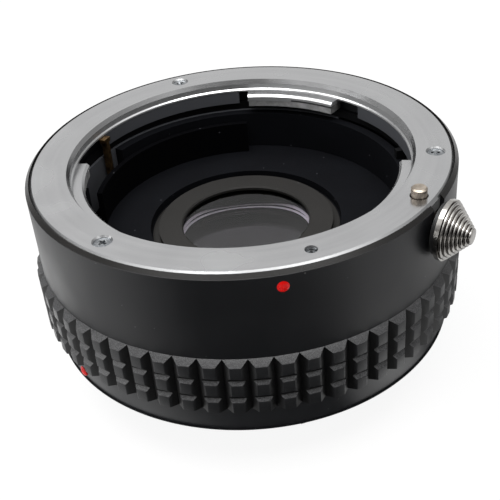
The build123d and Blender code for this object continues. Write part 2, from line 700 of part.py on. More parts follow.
# Inner housing and guard
def inner_housing():
    profile = (
        (FLOOR_OPENING_R, Z_FLOOR),
        (CHAMBER_R, Z_FLOOR),
        (CHAMBER_R, Z_POCKET - SEAT_GAP),
        (HOUSING_R, Z_POCKET - SEAT_GAP),
        (HOUSING_R, Z_FLOOR_UNDER),
        (HOUSING_FLANGE_R, Z_FLOOR_UNDER),
        (HOUSING_FLANGE_R, Z_HOUSING_FLANGE),
        (HOUSING_FLANGE_INNER_R, Z_HOUSING_FLANGE),
        (HOUSING_FLANGE_INNER_R, Z_FLOOR_UNDER),
        (HUB_R + HUB_SHOULDER, Z_FLOOR_UNDER),
        (HUB_R + HUB_SHOULDER, Z_STOP_RING_TOP + STOP_RING_GAP),
        (HUB_R, Z_STOP_RING_TOP + STOP_RING_GAP),
        (HUB_R, Z_STOP_RING - STOP_RING_GAP),
        (HUB_R - KEEPER_GROOVE, Z_STOP_RING - STOP_RING_GAP),
        (HUB_R - KEEPER_GROOVE, Z_STOP_RING - STOP_RING_GAP - KEEPER_THICKNESS),
        (HUB_R, Z_STOP_RING - STOP_RING_GAP - KEEPER_THICKNESS),
        (HUB_R, Z_HUB),
        (HUB_BORE_R, Z_HUB),
        (HUB_BORE_R, Z_FLOOR_UNDER),
        (FLOOR_OPENING_R, Z_FLOOR_UNDER),
    )
    solid = turned(profile)
    low = Z_HOUSING_FLANGE - CUT_OVERRUN
    high = Z_POCKET + CUT_OVERRUN
    solid -= arc_wall(HOUSING_FLANGE_INNER_R, FINGER_WINDOW_R, low, high, FINGER_WINDOW)
    channel = coupling_channel_arc(COUPLING_LEG_HALF_ANGLE)
    slot_inner = COUPLING_INNER_R - BAFFLE_GAP
    solid -= arc_wall(slot_inner, REAR_CAVITY_R, low, Z_FLOOR_UNDER + CUT_OVERRUN, channel)
    for hole in housing_screw_places(screw_hole(SCREW_LENGTH)):
        solid -= hole
    return solid


def housing_screws():
    return group(housing_screw_places(screw(SCREW_LENGTH)))


def chamber_guard():
    high = Z_FLOOR + GUARD_HEIGHT
    return arc_wall(GUARD_R - GUARD_WALL, GUARD_R, Z_FLOOR, high, GUARD_ARC)


# Aperture coupling
def coupling_leg_arc(half_angle):
    return (COUPLING_LEG_AZIMUTH - half_angle, COUPLING_LEG_AZIMUTH + half_angle)


def aperture_coupling_ring():
    """Ring under the lugs, with a tab for the lens and a leg down to the rear arm."""
    low = Z_POCKET + POCKET_GAP
    high = Z_POCKET_TOP - POCKET_GAP
    ring = arc_wall(COUPLING_INNER_R, COUPLING_OUTER_R, low, high)
    ring += arc_wall(COUPLING_TAB_R, COUPLING_OUTER_R, low, high, COUPLING_TAB_ARC)
    leg_arc = coupling_leg_arc(COUPLING_LEG_HALF_ANGLE)
    leg_low = Z_ARM + ARM_THICKNESS
    return ring + arc_wall(COUPLING_INNER_R, COUPLING_OUTER_R, leg_low, high, leg_arc)


def aperture_rear_arm():
    """Arm across the rear cavity, a stalk through the rear bore and a foot for the camera."""
    arc = coupling_leg_arc(FOOT_HALF_ANGLE)
    top = Z_ARM + ARM_THICKNESS
    arm = arc_wall(ARM_INNER_R, COUPLING_OUTER_R, Z_ARM, top, arc)
    foot_high = Z_SPIGOT + FOOT_THICKNESS
    stalk = arc_wall(ARM_INNER_R, ARM_OUTER_R, Z_SPIGOT, top, arc)
    foot = arc_wall(ARM_INNER_R, FOOT_R, Z_SPIGOT, foot_high, arc)
    return arm + stalk + foot


# Stop-down ring
def rivet_places(shape):
    half_angle = degrees(RIVET_SPREAD / RIVET_CIRCLE_R)
    angles = (STOP_AZIMUTH - half_angle, STOP_AZIMUTH + half_angle)
    return [upright(a, RIVET_CIRCLE_R, 0, shape) for a in angles]


def rivet_hole():
    low = Z_STOP_RING - LEVER_FOOT_THICKNESS - CUT_OVERRUN
    high = Z_STOP_RING_TOP + FINGER_FOOT_THICKNESS + CUT_OVERRUN
    return post(RIVET_R + THREAD_GAP, low, high)


def stop_down_ring():
    solid = arc_wall(HUB_R + STOP_RING_GAP, STOP_RING_R, Z_STOP_RING, Z_STOP_RING_TOP)
    solid += spring_post(STOP_SPRING_POST_AZIMUTH, Z_STOP_RING_TOP)
    for hole in rivet_places(rivet_hole()):
        solid -= hole
    return solid


def stop_down_finger():
    """Brass blade that reaches up the left of the throat, riveted on the ring."""
    top = Z_SEAT - FINGER_TOP_GAP
    foot_high = Z_STOP_RING_TOP + FINGER_FOOT_THICKNESS
    foot = brick(
        STOP_AZIMUTH, FINGER_FOOT_INNER_R, FINGER_OUTER_R, FINGER_FOOT_WIDTH, Z_STOP_RING_TOP, foot_high
    )
    blade = brick(STOP_AZIMUTH, FINGER_INNER_R, FINGER_OUTER_R, FINGER_WIDTH, Z_STOP_RING_TOP, top)
    tab_width = FINGER_TAB_WIDTH
    tab = brick(STOP_AZIMUTH, FINGER_INNER_R, FINGER_OUTER_R, tab_width, top - FINGER_TAB_HEIGHT, top)
    solid = foot + blade + tab
    for hole in rivet_places(rivet_hole()):
        solid -= hole
    return solid


def stop_down_lever():
    """Steel prong that reaches down through the rear bayonet to the camera."""
    foot_low = Z_STOP_RING - LEVER_FOOT_THICKNESS
    width = FINGER_FOOT_WIDTH
    foot = brick(STOP_AZIMUTH, LEVER_INNER_R, LEVER_FOOT_R, width, foot_low, Z_STOP_RING)
    prong = brick(
        STOP_AZIMUTH, LEVER_INNER_R, LEVER_OUTER_R, LEVER_WIDTH, Z_TONGUE, Z_STOP_RING
    )
    tip_edges = prong.edges().group_by(Axis.Z)[0].sort_by(Axis((0, 0, 0), tangent(STOP_AZIMUTH)))
    prong = fillet([tip_edges[0], tip_edges[-1]], LEVER_TIP_ROUND)
    solid = foot + prong
    for hole in rivet_places(rivet_hole()):
        solid -= hole
    return solid


def tangent(azimuth):
    """Direction along the rim at an azimuth."""
    return (-sin(radians(azimuth)), cos(radians(azimuth)), 0)


def lever_rivets():
    foot_low = Z_STOP_RING - LEVER_FOOT_THICKNESS
    foot_high = Z_STOP_RING_TOP + FINGER_FOOT_THICKNESS
    shank = post(RIVET_R, foot_low, foot_high)
    top_head = post(RIVET_HEAD_R, foot_high, foot_high + RIVET_HEAD_HEIGHT)
    low_head = post(RIVET_HEAD_R, foot_low - RIVET_HEAD_HEIGHT, foot_low)
    return group(rivet_places(shank + top_head + low_head))


def ring_keeper():
    """Open clip in the hub's groove that holds the stop-down ring up."""
    high = Z_STOP_RING - STOP_RING_GAP
    half = KEEPER_OPENING / 2
    arc = (STOP_AZIMUTH + 180 + half, STOP_AZIMUTH + 540 - half)
    inner = HUB_R - KEEPER_GROOVE + THREAD_GAP
    return arc_wall(inner, KEEPER_R, high - KEEPER_THICKNESS + THREAD_GAP, high, arc)


# Return springs
def spring_post(azimuth, base):
    return upright(azimuth, STOP_SPRING_R, 0, post(POST_R, base, base + STOP_POST_LENGTH))


def wire_spring(radius, height, anchor, free_end):
    """A wire arm that runs round the axis, with an eye that hooks on its anchor post."""
    ring = Torus(EYE_R, WIRE_R)
    eye = upright(anchor, radius, height, ring)
    start = min(anchor, free_end)
    sweep_angle = abs(anchor - free_end)
    bite = degrees(asin(EYE_R / radius))
    if anchor > free_end:
        sweep_angle -= bite
    else:
        start += bite
        sweep_angle -= bite
    section = Plane.XZ * Pos(radius, height) * Circle(WIRE_R)
    arm = Rot(0, 0, start) * revolve(section, Axis.Z, sweep_angle)
    return eye + arm


def stop_spring_height():
    return Z_STOP_RING_TOP + STOP_POST_LENGTH / 2


def stop_down_spring():
    touch = STOP_SPRING_POST_AZIMUTH + degrees(asin((POST_R + POST_GAP) / STOP_SPRING_R))
    return wire_spring(STOP_SPRING_R, stop_spring_height(), STOP_SPRING_ANCHOR_AZIMUTH, touch)


def stop_spring_anchor():
    low = Z_STOP_RING_TOP + POST_GAP
    return upright(STOP_SPRING_ANCHOR_AZIMUTH, STOP_SPRING_R, 0, post(POST_R, low, Z_FLOOR_UNDER))


def arm_spring_height():
    return Z_HOUSING_FLANGE - ARM_SPRING_DROP / 2


def aperture_spring():
    leg_edge = COUPLING_LEG_AZIMUTH + COUPLING_LEG_HALF_ANGLE
    touch = leg_edge + degrees(asin(POST_GAP / ARM_SPRING_R))
    return wire_spring(ARM_SPRING_R, arm_spring_height(), ARM_SPRING_ANCHOR_AZIMUTH, touch)


def arm_spring_anchor():
    low = Z_HOUSING_FLANGE - ARM_SPRING_DROP
    anchor = post(POST_R, low, Z_HOUSING_FLANGE)
    return upright(ARM_SPRING_ANCHOR_AZIMUTH, ARM_SPRING_R, 0, anchor)


def spring_anchors():
    return group([stop_spring_anchor(), arm_spring_anchor()])


# Optics
def element_tops():
    """Height of the front edge of each element, stacked down from the front retaining ring."""
    tops = []
    height = Z_FRONT_KEEPER - FRONT_KEEPER_LIP - GLASS_GAP
    for i, edge in enumerate(ELEMENT_EDGES):
        tops.append(height)
        height -= edge
        if i < len(SPACER_HEIGHTS):
            height -= SPACER_HEIGHTS[i]
    return tops


def lens_element(index):
    """Half outline of a lens with spherical faces; a positive sag is a convex face."""
    top = element_tops()[index]
    low = top - ELEMENT_EDGES[index]
    front_sag = ELEMENT_FRONT_SAGS[index]
    rear_sag = ELEMENT_REAR_SAGS[index]
    clear = SPACER_INNER_R
    front = ThreePointArc((0, top + front_sag), arc_middle(clear, top, front_sag), (clear, top))
    rear = ThreePointArc((clear, low), arc_middle(clear, low, -rear_sag), (0, low - rear_sag))
    outline = [
        front,
        Line((clear, top), (GLASS_R, top)),
        Line((GLASS_R, top), (GLASS_R, low)),
        Line((GLASS_R, low), (clear, low)),
        rear,
        Line((0, low - rear_sag), (0, top + front_sag)),
    ]
    return revolve(make_face(Plane.XZ * Curve(outline)), Axis.Z, 360)


def arc_middle(radius, edge_height, sag):
    """Point halfway along a spherical face that stands a sag above its edge at the axis."""
    sphere_r = (radius ** 2 + sag ** 2) / (2 * abs(sag))
    half = radius / 2
    rise = sphere_r - sqrt(sphere_r ** 2 - half ** 2)
    sign = 1 if sag > 0 else -1
    return (half, edge_height + sag - sign * rise)


def spacer(index):
    high = element_tops()[index] - ELEMENT_EDGES[index]
    return arc_wall(SPACER_INNER_R, GLASS_R, high - SPACER_HEIGHTS[index], high)


def front_retaining_ring():
    face = Z_FRONT_KEEPER
    profile = (
        (GLASS_CLEAR_R, face - LIP_DISH),
        (GLASS_CLEAR_R + LIP_DISH, face),
        (FRONT_KEEPER_R, face),
        (FRONT_KEEPER_R, face - FRONT_KEEPER_HEIGHT),
        (CELL_BORE_R, face - FRONT_KEEPER_HEIGHT),
        (CELL_BORE_R, face - FRONT_KEEPER_LIP),
        (GLASS_CLEAR_R, face - FRONT_KEEPER_LIP),
    )
    return turned(profile)


def lens_cell():
    """Tube that holds the glass, screwed up into the hub and seated on its flange."""
    ring_floor = Z_FRONT_KEEPER - FRONT_KEEPER_HEIGHT
    rear = Z_CELL - CELL_LENGTH
    rear_ring_top = element_tops()[-1] - ELEMENT_EDGES[-1]
    profile = (
        (CELL_BORE_R, rear),
        (CELL_TAIL_R, rear),
        (CELL_TAIL_R, Z_HUB - CELL_FLANGE_THICKNESS),
        (CELL_FLANGE_R, Z_HUB - CELL_FLANGE_THICKNESS),
        (CELL_FLANGE_R, Z_HUB),
        (CELL_R, Z_HUB),
        (CELL_R, Z_CELL),
        (FRONT_KEEPER_R + THREAD_GAP, Z_CELL),
        (FRONT_KEEPER_R + THREAD_GAP, ring_floor),
        (CELL_BORE_R, ring_floor),
    )
    solid = turned(profile)
    thread = arc_wall(CELL_BORE_R, CELL_BORE_R + THREAD_GAP, rear, rear_ring_top)
    return solid - thread


def rear_retaining_ring():
    high = element_tops()[-1] - ELEMENT_EDGES[-1]
    return arc_wall(SPACER_INNER_R, CELL_BORE_R, high - REAR_KEEPER_HEIGHT, high)


# Rear bayonet
def rear_bayonet():
    """Flange, spigot with three lugs and the guard that stands below the lugs."""
    profile = (
        (SPIGOT_BORE_R, REAR_FLANGE_THICKNESS),
        (REAR_FLANGE_R, REAR_FLANGE_THICKNESS),
        (REAR_FLANGE_R, REAR_FLANGE_CHAMFER),
        (REAR_FLANGE_R - REAR_FLANGE_CHAMFER, 0),
        (SPIGOT_R, 0),
        (SPIGOT_R, Z_SPIGOT),
        (SPIGOT_BORE_R, Z_SPIGOT),
    )
    solid = turned(profile)
    inside_wall = (SPIGOT_BORE_R + SPIGOT_R) / 2
    lug_high = Z_SPIGOT + MALE_LUG_THICKNESS
    for arc in LUG_ARCS:
        lug_arc = widened(arc, -MALE_LUG_END_ANGLE)
        solid += arc_wall(inside_wall, MALE_LUG_R, Z_SPIGOT, lug_high, lug_arc)
    cut_inner = SPIGOT_BORE_R - CUT_OVERRUN
    cut_outer = MALE_LUG_R + CUT_OVERRUN
    window_high = Z_SPIGOT + FOOT_THICKNESS + BAFFLE_GAP
    window = coupling_channel_arc(FOOT_HALF_ANGLE)
    solid -= arc_wall(cut_inner, cut_outer, Z_SPIGOT - CUT_OVERRUN, window_high, window)
    tongue_high = Z_SPIGOT + MALE_LUG_THICKNESS / 2
    solid += arc_wall(SPIGOT_BORE_R, SPIGOT_R, Z_TONGUE, tongue_high, GUARD_TONGUE_ARC)
    notch = post(LOCK_NOTCH_R, -CUT_OVERRUN, REAR_FLANGE_THICKNESS + CUT_OVERRUN)
    solid -= upright(LOCK_AZIMUTH, LOCK_CIRCLE_R, 0, notch)
    for hole in rear_screw_places(screw_hole(REAR_SCREW_LENGTH)):
        solid -= hole
    return solid


def rear_mount_screws():
    return group(rear_screw_places(screw(REAR_SCREW_LENGTH)))


def rear_baffle():
    """Thin black plate that closes the rear round the lens cell, slotted for both levers."""
    high = Z_BAFFLE + BAFFLE_THICKNESS
    outer = REAR_CAVITY_R - BAFFLE_GAP
    plate = arc_wall(CELL_TAIL_R + BAFFLE_GAP, outer, Z_BAFFLE, high)
    low_cut = Z_BAFFLE - CUT_OVERRUN
    high_cut = high + CUT_OVERRUN
    arm_slot = coupling_channel_arc(FOOT_HALF_ANGLE)
    arm_outer = ARM_OUTER_R + BAFFLE_SLOT_GAP
    plate -= arc_wall(ARM_INNER_R - BAFFLE_SLOT_GAP, arm_outer, low_cut, high_cut, arm_slot)
    half = degrees(asin(LEVER_WIDTH / 2 / LEVER_INNER_R)) + BAFFLE_SLOT_MARGIN
    lever_slot = (STOP_AZIMUTH - half, STOP_AZIMUTH + STOP_TURN + half)
    lever_inner = LEVER_INNER_R - BAFFLE_SLOT_GAP
    lever_outer = LEVER_OUTER_R + BAFFLE_SLOT_GAP
    return plate - arc_wall(lever_inner, lever_outer, low_cut, high_cut, lever_slot)


NODES = {
    "front_barrel": front_barrel,
    "rear_barrel": rear_barrel,
    "front_bayonet_ring": front_bayonet_ring,
    "lug_springs": lug_springs,
    "front_mount_screws": front_mount_screws,
    "lock_pin": lock_pin,
    "lock_block": lock_block,
    "lock_spring": lock_spring,
    "knob_stem": knob_stem,
    "knob_washer": knob_washer,
    "release_knob": release_knob,
    "front_index_dot": lambda: front_dot_place(index_dot()),
    "rear_index_dot": lambda: rear_dot_place(index_dot()),
    "inner_housing": inner_housing,
    "housing_screws": housing_screws,
    "chamber_guard": chamber_guard,
    "aperture_coupling_ring": aperture_coupling_ring,
    "aperture_rear_arm": aperture_rear_arm,
    "aperture_spring": aperture_spring,
    "stop_down_ring": stop_down_ring,
    "stop_down_finger": stop_down_finger,
    "stop_down_lever": stop_down_lever,
    "lever_rivets": lever_rivets,
    "ring_keeper": ring_keeper,
    "stop_down_spring": stop_down_spring,
    "spring_anchors": spring_anchors,
    "lens_cell": lens_cell,
    "front_retaining_ring": front_retaining_ring,
    "front_element": lambda: lens_element(0),
    "second_element": lambda: lens_element(1),
    "third_element": lambda: lens_element(2),
    "rear_element": lambda: lens_element(3),
    "front_spacer": lambda: spacer(0),
    "middle_spacer": lambda: spacer(1),
    "rear_spacer": lambda: spacer(2),
    "rear_retaining_ring": rear_retaining_ring,
    "rear_bayonet": rear_bayonet,
    "rear_mount_screws": rear_mount_screws,
    "rear_baffle": rear_baffle,
}

os.makedirs("parts", exist_ok=True)
for name, make in NODES.items():
    export_step(make(), f"parts/{name}.step")
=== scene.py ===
"""Looks of the camera teleconverter: the finish of every surface and the finer pieces.

All places are in metres, in the part's own frame: +Z is the optical axis, towards the lens side.
Sizes are written in millimetres and multiplied by MM.
"""
import json
from functools import partial
from math import cos, hypot, pi, radians, sin, sqrt

import bmesh
import bpy
from mathutils import Matrix, Quaternion, Vector


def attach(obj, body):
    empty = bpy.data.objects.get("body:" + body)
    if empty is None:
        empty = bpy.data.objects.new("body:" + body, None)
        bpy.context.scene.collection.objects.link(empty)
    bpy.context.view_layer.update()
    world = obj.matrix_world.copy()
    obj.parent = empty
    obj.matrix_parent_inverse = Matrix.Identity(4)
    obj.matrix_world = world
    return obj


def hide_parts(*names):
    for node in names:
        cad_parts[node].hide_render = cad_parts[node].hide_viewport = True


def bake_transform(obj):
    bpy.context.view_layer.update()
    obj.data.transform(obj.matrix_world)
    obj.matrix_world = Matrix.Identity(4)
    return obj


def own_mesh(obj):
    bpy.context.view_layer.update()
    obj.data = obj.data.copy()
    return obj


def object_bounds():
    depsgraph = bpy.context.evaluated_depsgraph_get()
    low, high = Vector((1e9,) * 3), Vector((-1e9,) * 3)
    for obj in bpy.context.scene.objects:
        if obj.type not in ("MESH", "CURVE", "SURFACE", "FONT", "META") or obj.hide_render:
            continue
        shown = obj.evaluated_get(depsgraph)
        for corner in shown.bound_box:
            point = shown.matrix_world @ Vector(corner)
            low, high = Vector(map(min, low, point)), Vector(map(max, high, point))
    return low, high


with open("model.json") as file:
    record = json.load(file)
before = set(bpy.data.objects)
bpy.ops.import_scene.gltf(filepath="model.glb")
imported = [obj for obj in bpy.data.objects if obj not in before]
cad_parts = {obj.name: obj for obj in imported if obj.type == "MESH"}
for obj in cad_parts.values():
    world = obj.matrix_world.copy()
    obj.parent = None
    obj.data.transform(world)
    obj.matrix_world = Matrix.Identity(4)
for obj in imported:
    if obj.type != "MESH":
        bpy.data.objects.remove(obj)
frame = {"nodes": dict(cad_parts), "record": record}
cad_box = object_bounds()
nodes = frame["nodes"]

MM = 0.001
ROUND_STEPS = 192
MERGE_GAP = 0.0005 * MM

# View of the photograph
VIEW_ELEVATION = radians(34.28)
VIEW_ROLL = radians(-4.87)
VIEW_DISTANCE = 136.8 * MM
VIEW_TARGET = Vector((0.227, 0, 8.63)) * MM
VIEW_LENS = 64.4
VIEW_SENSOR = 36

# Sizes that the finer pieces share with the solids
FACE_Z = 25.9 * MM
BARREL_R = 30.4 * MM

# Floor: half its width, its paint, and its level in mirrors, where each pair is the start and end of a change
FLOOR_SIZE = 0.6
FLOOR_PAINT = 0.9
FLOOR_GLOW = 0.9
FLOOR_FRONT = (0.5, -0.87, 0)
FLOOR_FRONT_DIM = 0.97
FLOOR_DARK_START = (12 * MM, 30 * MM)
FLOOR_DARK_END = (100 * MM, 130 * MM)
FLOOR_DARK_RIGHT = (36 * MM, 50 * MM)
FLOOR_BACK_LIFT = 1.0
FLOOR_BACK_START = (-20 * MM, -13 * MM)
FLOOR_BACK_END = (55 * MM, 70 * MM)
KNOB_FLOOR = (0.031, -0.028, 0)
KNOB_FLOOR_EDGE = (11 * MM, 15 * MM)
KNOB_FLOOR_LIFT = 0.6
KNOB_FLOOR_CORE = (6 * MM, 11 * MM)

# Surroundings: plain light on the part, and a tent in mirrors, its zones given by parts of the direction
WORLD_LIGHT = 0.5
TENT_TOP = 1.9
TENT_TOP_RISE = (0.34, 0.6)
TENT_BACK = (0.35, 0.75)
TENT_SIDE_DIM = 0.58
TENT_SIDE = (0.4, 0.75)
TENT_SIDE_TOP = (0.6, 0.7)
TENT_GAP = 0.9
TENT_GAP_FRONT = (0.5, 0.75)
TENT_GAP_TOP = (0.78, 0.84)

# Lamps: name, azimuth, elevation, distance, size and power
LAMPS = (
    ("high_left", 150, 62, 0.5, (0.3, 0.3), 1.5),
    ("front_high", -85, 74, 0.5, (0.45, 0.25), 2.6),
    ("low_left", 196, 8, 0.4, (0.3, 0.2), 0.9),
)

# Patterns that the shared groups keep fixed
STREAK_SCALE = 1.3
SPECK_SHARE = 0.3
BREAKUP_SCALE = 1400.0

# Rear barrel and its grip blocks
SKIRT_R = 30.0 * MM
SKIRT_LIFT = 0.6 * MM
SKIRT_ROUND = 0.3 * MM
SKIRT_HEIGHT = 5.12 * MM
GRIP_TOP = 13.37 * MM
SLEEVE_R = 29.0 * MM
SLEEVE_LOW = 11.45 * MM
CAVITY_R = 25.9 * MM
FLANGE_SEAT_R = 28.65 * MM
FLANGE_SEAT_Z = 2.0 * MM
BLOCK_RAISE = 0.9 * MM
BLOCK_FACE_WIDTH = 1.44 * MM
BLOCK_FOOT_WIDTH = 3.19 * MM
BLOCK_SINK = 0.2 * MM
BLOCK_ROUND = 0.06 * MM
BLOCK_FACE_HEIGHT = 1.75 * MM
BLOCK_ROW_STEP = 2.85 * MM
BLOCK_ROW_SLOPE = 0.45 * MM
BLOCK_ROW_DEPTH = 0.45 * MM
BLOCK_COLUMNS = 60
BLOCK_ROWS = 3
BLOCK_PHASE = 0.8

# Screws of the bayonet rings
SCREW_R = 27.27 * MM
SCREW_PHASE = -10.8
SCREW_COUNT = 3
REAR_SCREW_R = 27.0 * MM
REAR_SCREW_PHASE = 12.0
REAR_SCREW_COUNT = 5
SCREW_HEAD_R = 1.26 * MM
SCREW_HEAD_SINK = 0.18 * MM
SCREW_HEAD_ROUND = 0.12 * MM
SCREW_CONE = 0.55 * MM
SCREW_SHANK_R = 0.75 * MM
SCREW_LENGTH = 4.9 * MM
RECESS_REACH = 0.9 * MM
RECESS_WIDTH = 0.4 * MM
RECESS_FLOOR_SHARE = 0.35
RECESS_DEPTH = 0.6 * MM

# Tapped hole in the front ring
TAPPED_AZIMUTH = -74.2
TAPPED_R = 0.8 * MM
THREAD_DEPTH = 0.13 * MM
THREAD_PITCH = 0.4 * MM
THREAD_TURNS = 5
THREAD_START = 0.25 * MM

# Release knob
LOCK_AZIMUTH = -36.3
KNOB_Z = 21.9 * MM
KNOB_BASE_R = 31.35 * MM
KNOB_R = 4.05 * MM
KNOB_TIP_R = 0.95 * MM
KNOB_LENGTH = 3.74 * MM
KNOB_LAND = 0.62 * MM
KNOB_RIBS = 8
KNOB_GROOVE = 0.2 * MM
# One rib in pairs: a share of its length and a share of the groove's depth
RIB_SECTION = ((0.04, 1.0), (0.14, 0.25), (0.34, 0.0), (0.7, 0.02), (0.88, 0.3), (0.97, 1.0))
STEM_R = 1.1 * MM
STEM_IN_KNOB = 1.9 * MM

# Spacer with two bright lips, seen through the front element
SPACER_TOP = 11.05 * MM
SPACER_HEIGHT = 1.0 * MM
SPACER_OUTER_R = 12.2 * MM
SPACER_WALL_R = 10.2 * MM
SPACER_LIP_R = 9.95 * MM
SPACER_LIP_HEIGHT = 0.22 * MM
SPACER_LIP_DROP = 0.15 * MM
SPACER_RELIEF = 0.12 * MM
SPACER_LIP_STEP = 0.42 * MM
SPACER_LIPS = 2

# Springs copied as plain meshes: node, moving body, and the azimuths of the anchor and of the pushed end
GIVING_SPRINGS = (
    ("stop_down_spring", "stop_down", 132.0, 103.0),
    ("aperture_spring", "aperture", 92.0, 8.0),
)

# Lens elements: node, finish, height of the upper rim, rim, and the sags of both faces
GLASS_R = 12.2 * MM
GLASS_FACE_R = 10.75 * MM
GLASS_FACE_STEPS = 40
LENSES = (
    ("front_element", "coated_glass", 13.65 * MM, 2.6 * MM, -0.75 * MM, -0.9 * MM),
    ("second_element", "inner_glass", 10.05 * MM, 1.0 * MM, 0.8 * MM, 0.75 * MM),
    ("third_element", "inner_glass", 7.85 * MM, 2.2 * MM, -0.7 * MM, -0.6 * MM),
    ("rear_element", "inner_glass", 4.85 * MM, 0.65 * MM, 0.45 * MM, 0.7 * MM),
)


def polar(azimuth, radius, height=0.0):
    """A point at an azimuth in degrees, a radius and a height."""
    turn = radians(azimuth)
    return Vector((radius * cos(turn), radius * sin(turn), height))


# Camera, lamps, floor and surroundings
def add_camera():
    """The camera of the photograph, turned a little about its own axis."""
    data = bpy.data.cameras.new("photograph_view")
    data.sensor_width = VIEW_SENSOR
    data.lens = VIEW_LENS
    data.clip_start = 1 * MM
    camera = bpy.data.objects.new("photograph_view", data)
    forward = Vector((0, cos(VIEW_ELEVATION), -sin(VIEW_ELEVATION)))
    camera.location = VIEW_TARGET - forward * VIEW_DISTANCE
    camera.rotation_mode = "QUATERNION"
    level = forward.to_track_quat("-Z", "Y")
    camera.rotation_quaternion = level @ Quaternion((0, 0, 1), VIEW_ROLL)
    bpy.context.scene.collection.objects.link(camera)
    bpy.context.scene.camera = camera


def add_softbox(name, azimuth, elevation, distance, size, power):
    """A rectangular lamp that faces the part from a direction, all distances in metres."""
    data = bpy.data.lights.new(name, "AREA")
    data.shape = "RECTANGLE"
    data.size, data.size_y = size
    data.energy = power
    lamp = bpy.data.objects.new(name, data)
    away = polar(azimuth, cos(radians(elevation)), sin(radians(elevation)))
    lamp.location = away * distance
    lamp.rotation_mode = "QUATERNION"
    lamp.rotation_quaternion = (-away).to_track_quat("-Z", "Y")
    bpy.context.scene.collection.objects.link(lamp)


def new_tree(owner):
    """Empties a material's or world's node tree and returns it."""
    owner.use_nodes = True
    owner.node_tree.nodes.clear()
    return owner.node_tree


def add_node(tree, kind, inputs=None, **settings):
    """Adds a node, sets its own settings, and sets or links its inputs by name or number."""
    node = tree.nodes.new(kind)
    for name, value in settings.items():
        setattr(node, name, value)
    for name, value in (inputs or {}).items():
        if isinstance(value, bpy.types.NodeSocket):
            tree.links.new(value, node.inputs[name])
        else:
            node.inputs[name].default_value = value
    return node


def computed(tree, operation, *values, **settings):
    """The result of one sum, comparison or other operation on numbers."""
    node = add_node(tree, "ShaderNodeMath", dict(enumerate(values)), operation=operation, **settings)
    return node.outputs[0]


def measured(tree, operation, *vectors):
    """One number from vectors, such as a length, a distance or a dot product."""
    node = add_node(tree, "ShaderNodeVectorMath", dict(enumerate(vectors)), operation=operation)
    return node.outputs["Value"]


def eased(tree, value, change):
    """0 before the change, 1 after it, and a smooth rise between."""
    low, high = change
    node = add_node(tree, "ShaderNodeMapRange", {0: value, 1: low, 2: high}, interpolation_type="SMOOTHSTEP")
    return node.outputs[0]


def fading(tree, value, change):
    """1 before the change, 0 after it, and a smooth fall between."""
    return computed(tree, "SUBTRACT", 1.0, eased(tree, value, change))


def straight_rays(tree):
    """1 for rays that look at, mirror or pass through to a surface, and 0 for light that bounces."""
    path = add_node(tree, "ShaderNodeLightPath").outputs
    seen = path["Is Camera Ray"]
    for name in ("Is Glossy Ray", "Is Transmission Ray"):
        seen = computed(tree, "MAXIMUM", seen, path[name])
    return seen


def mirror_rays(tree):
    """1 for rays that a mirror or a glass sends on."""
    path = add_node(tree, "ShaderNodeLightPath").outputs
    return computed(tree, "MAXIMUM", path["Is Transmission Ray"], path["Is Glossy Ray"])


def floor_level(tree):
    """Brightness of the floor in mirrors.

    It is strong behind the part, even at the sides, dark in front and under the part, and
    bright again in a small patch below the knob.
    """
    math = partial(computed, tree)
    place = add_node(tree, "ShaderNodeTexCoord").outputs["Object"]
    across = add_node(tree, "ShaderNodeSeparateXYZ", {0: place}).outputs[0]
    away = measured(tree, "LENGTH", place)
    forward = measured(tree, "DOT_PRODUCT", place, FLOOR_FRONT)
    patch = measured(tree, "DISTANCE", place, KNOB_FLOOR)
    dark = math("SUBTRACT", eased(tree, forward, FLOOR_DARK_START), eased(tree, forward, FLOOR_DARK_END))
    dark = math("MULTIPLY", dark, eased(tree, patch, KNOB_FLOOR_EDGE))
    dark = math("MULTIPLY", dark, fading(tree, across, FLOOR_DARK_RIGHT))
    level = math("SUBTRACT", 1.0, math("MULTIPLY", dark, FLOOR_FRONT_DIM))
    behind = math("MULTIPLY", fading(tree, forward, FLOOR_BACK_START), fading(tree, away, FLOOR_BACK_END))
    core = math("SUBTRACT", KNOB_FLOOR_LIFT, eased(tree, patch, KNOB_FLOOR_CORE))
    lift = math("MULTIPLY", math("MAXIMUM", behind, core), FLOOR_BACK_LIFT)
    level = math("MULTIPLY", level, math("ADD", 1.0, lift))
    return math("MULTIPLY", level, math("GREATER_THAN", away, BARREL_R))


def floor_rays(tree):
    """1 where the camera looks at the floor, and its brightness where a mirror or a glass does."""
    mirrored = computed(tree, "MULTIPLY", mirror_rays(tree), floor_level(tree))
    seen = add_node(tree, "ShaderNodeLightPath").outputs["Is Camera Ray"]
    return computed(tree, "MAXIMUM", mirrored, seen)


def tent_level(tree):
    """Brightness of the white tent in mirrors: bright overhead, even at the back, dim aside, dark in front."""
    math = partial(computed, tree)
    direction = add_node(tree, "ShaderNodeTexCoord").outputs["Generated"]
    across, back, up = add_node(tree, "ShaderNodeSeparateXYZ", {0: direction}).outputs
    overhead = math("MULTIPLY", eased(tree, up, TENT_TOP_RISE), fading(tree, back, TENT_BACK))
    bright = math("ADD", 1.0, math("MULTIPLY", overhead, TENT_TOP - 1.0))
    aside = eased(tree, math("ABSOLUTE", across), TENT_SIDE)
    aside = math("MULTIPLY", aside, fading(tree, up, TENT_SIDE_TOP))
    bright = math("MULTIPLY", bright, math("SUBTRACT", 1.0, math("MULTIPLY", aside, TENT_SIDE_DIM)))
    gap = eased(tree, math("MULTIPLY", back, -1.0), TENT_GAP_FRONT)
    gap = math("MULTIPLY", gap, fading(tree, up, TENT_GAP_TOP))
    return math("MULTIPLY", bright, math("SUBTRACT", 1.0, math("MULTIPLY", gap, TENT_GAP)))


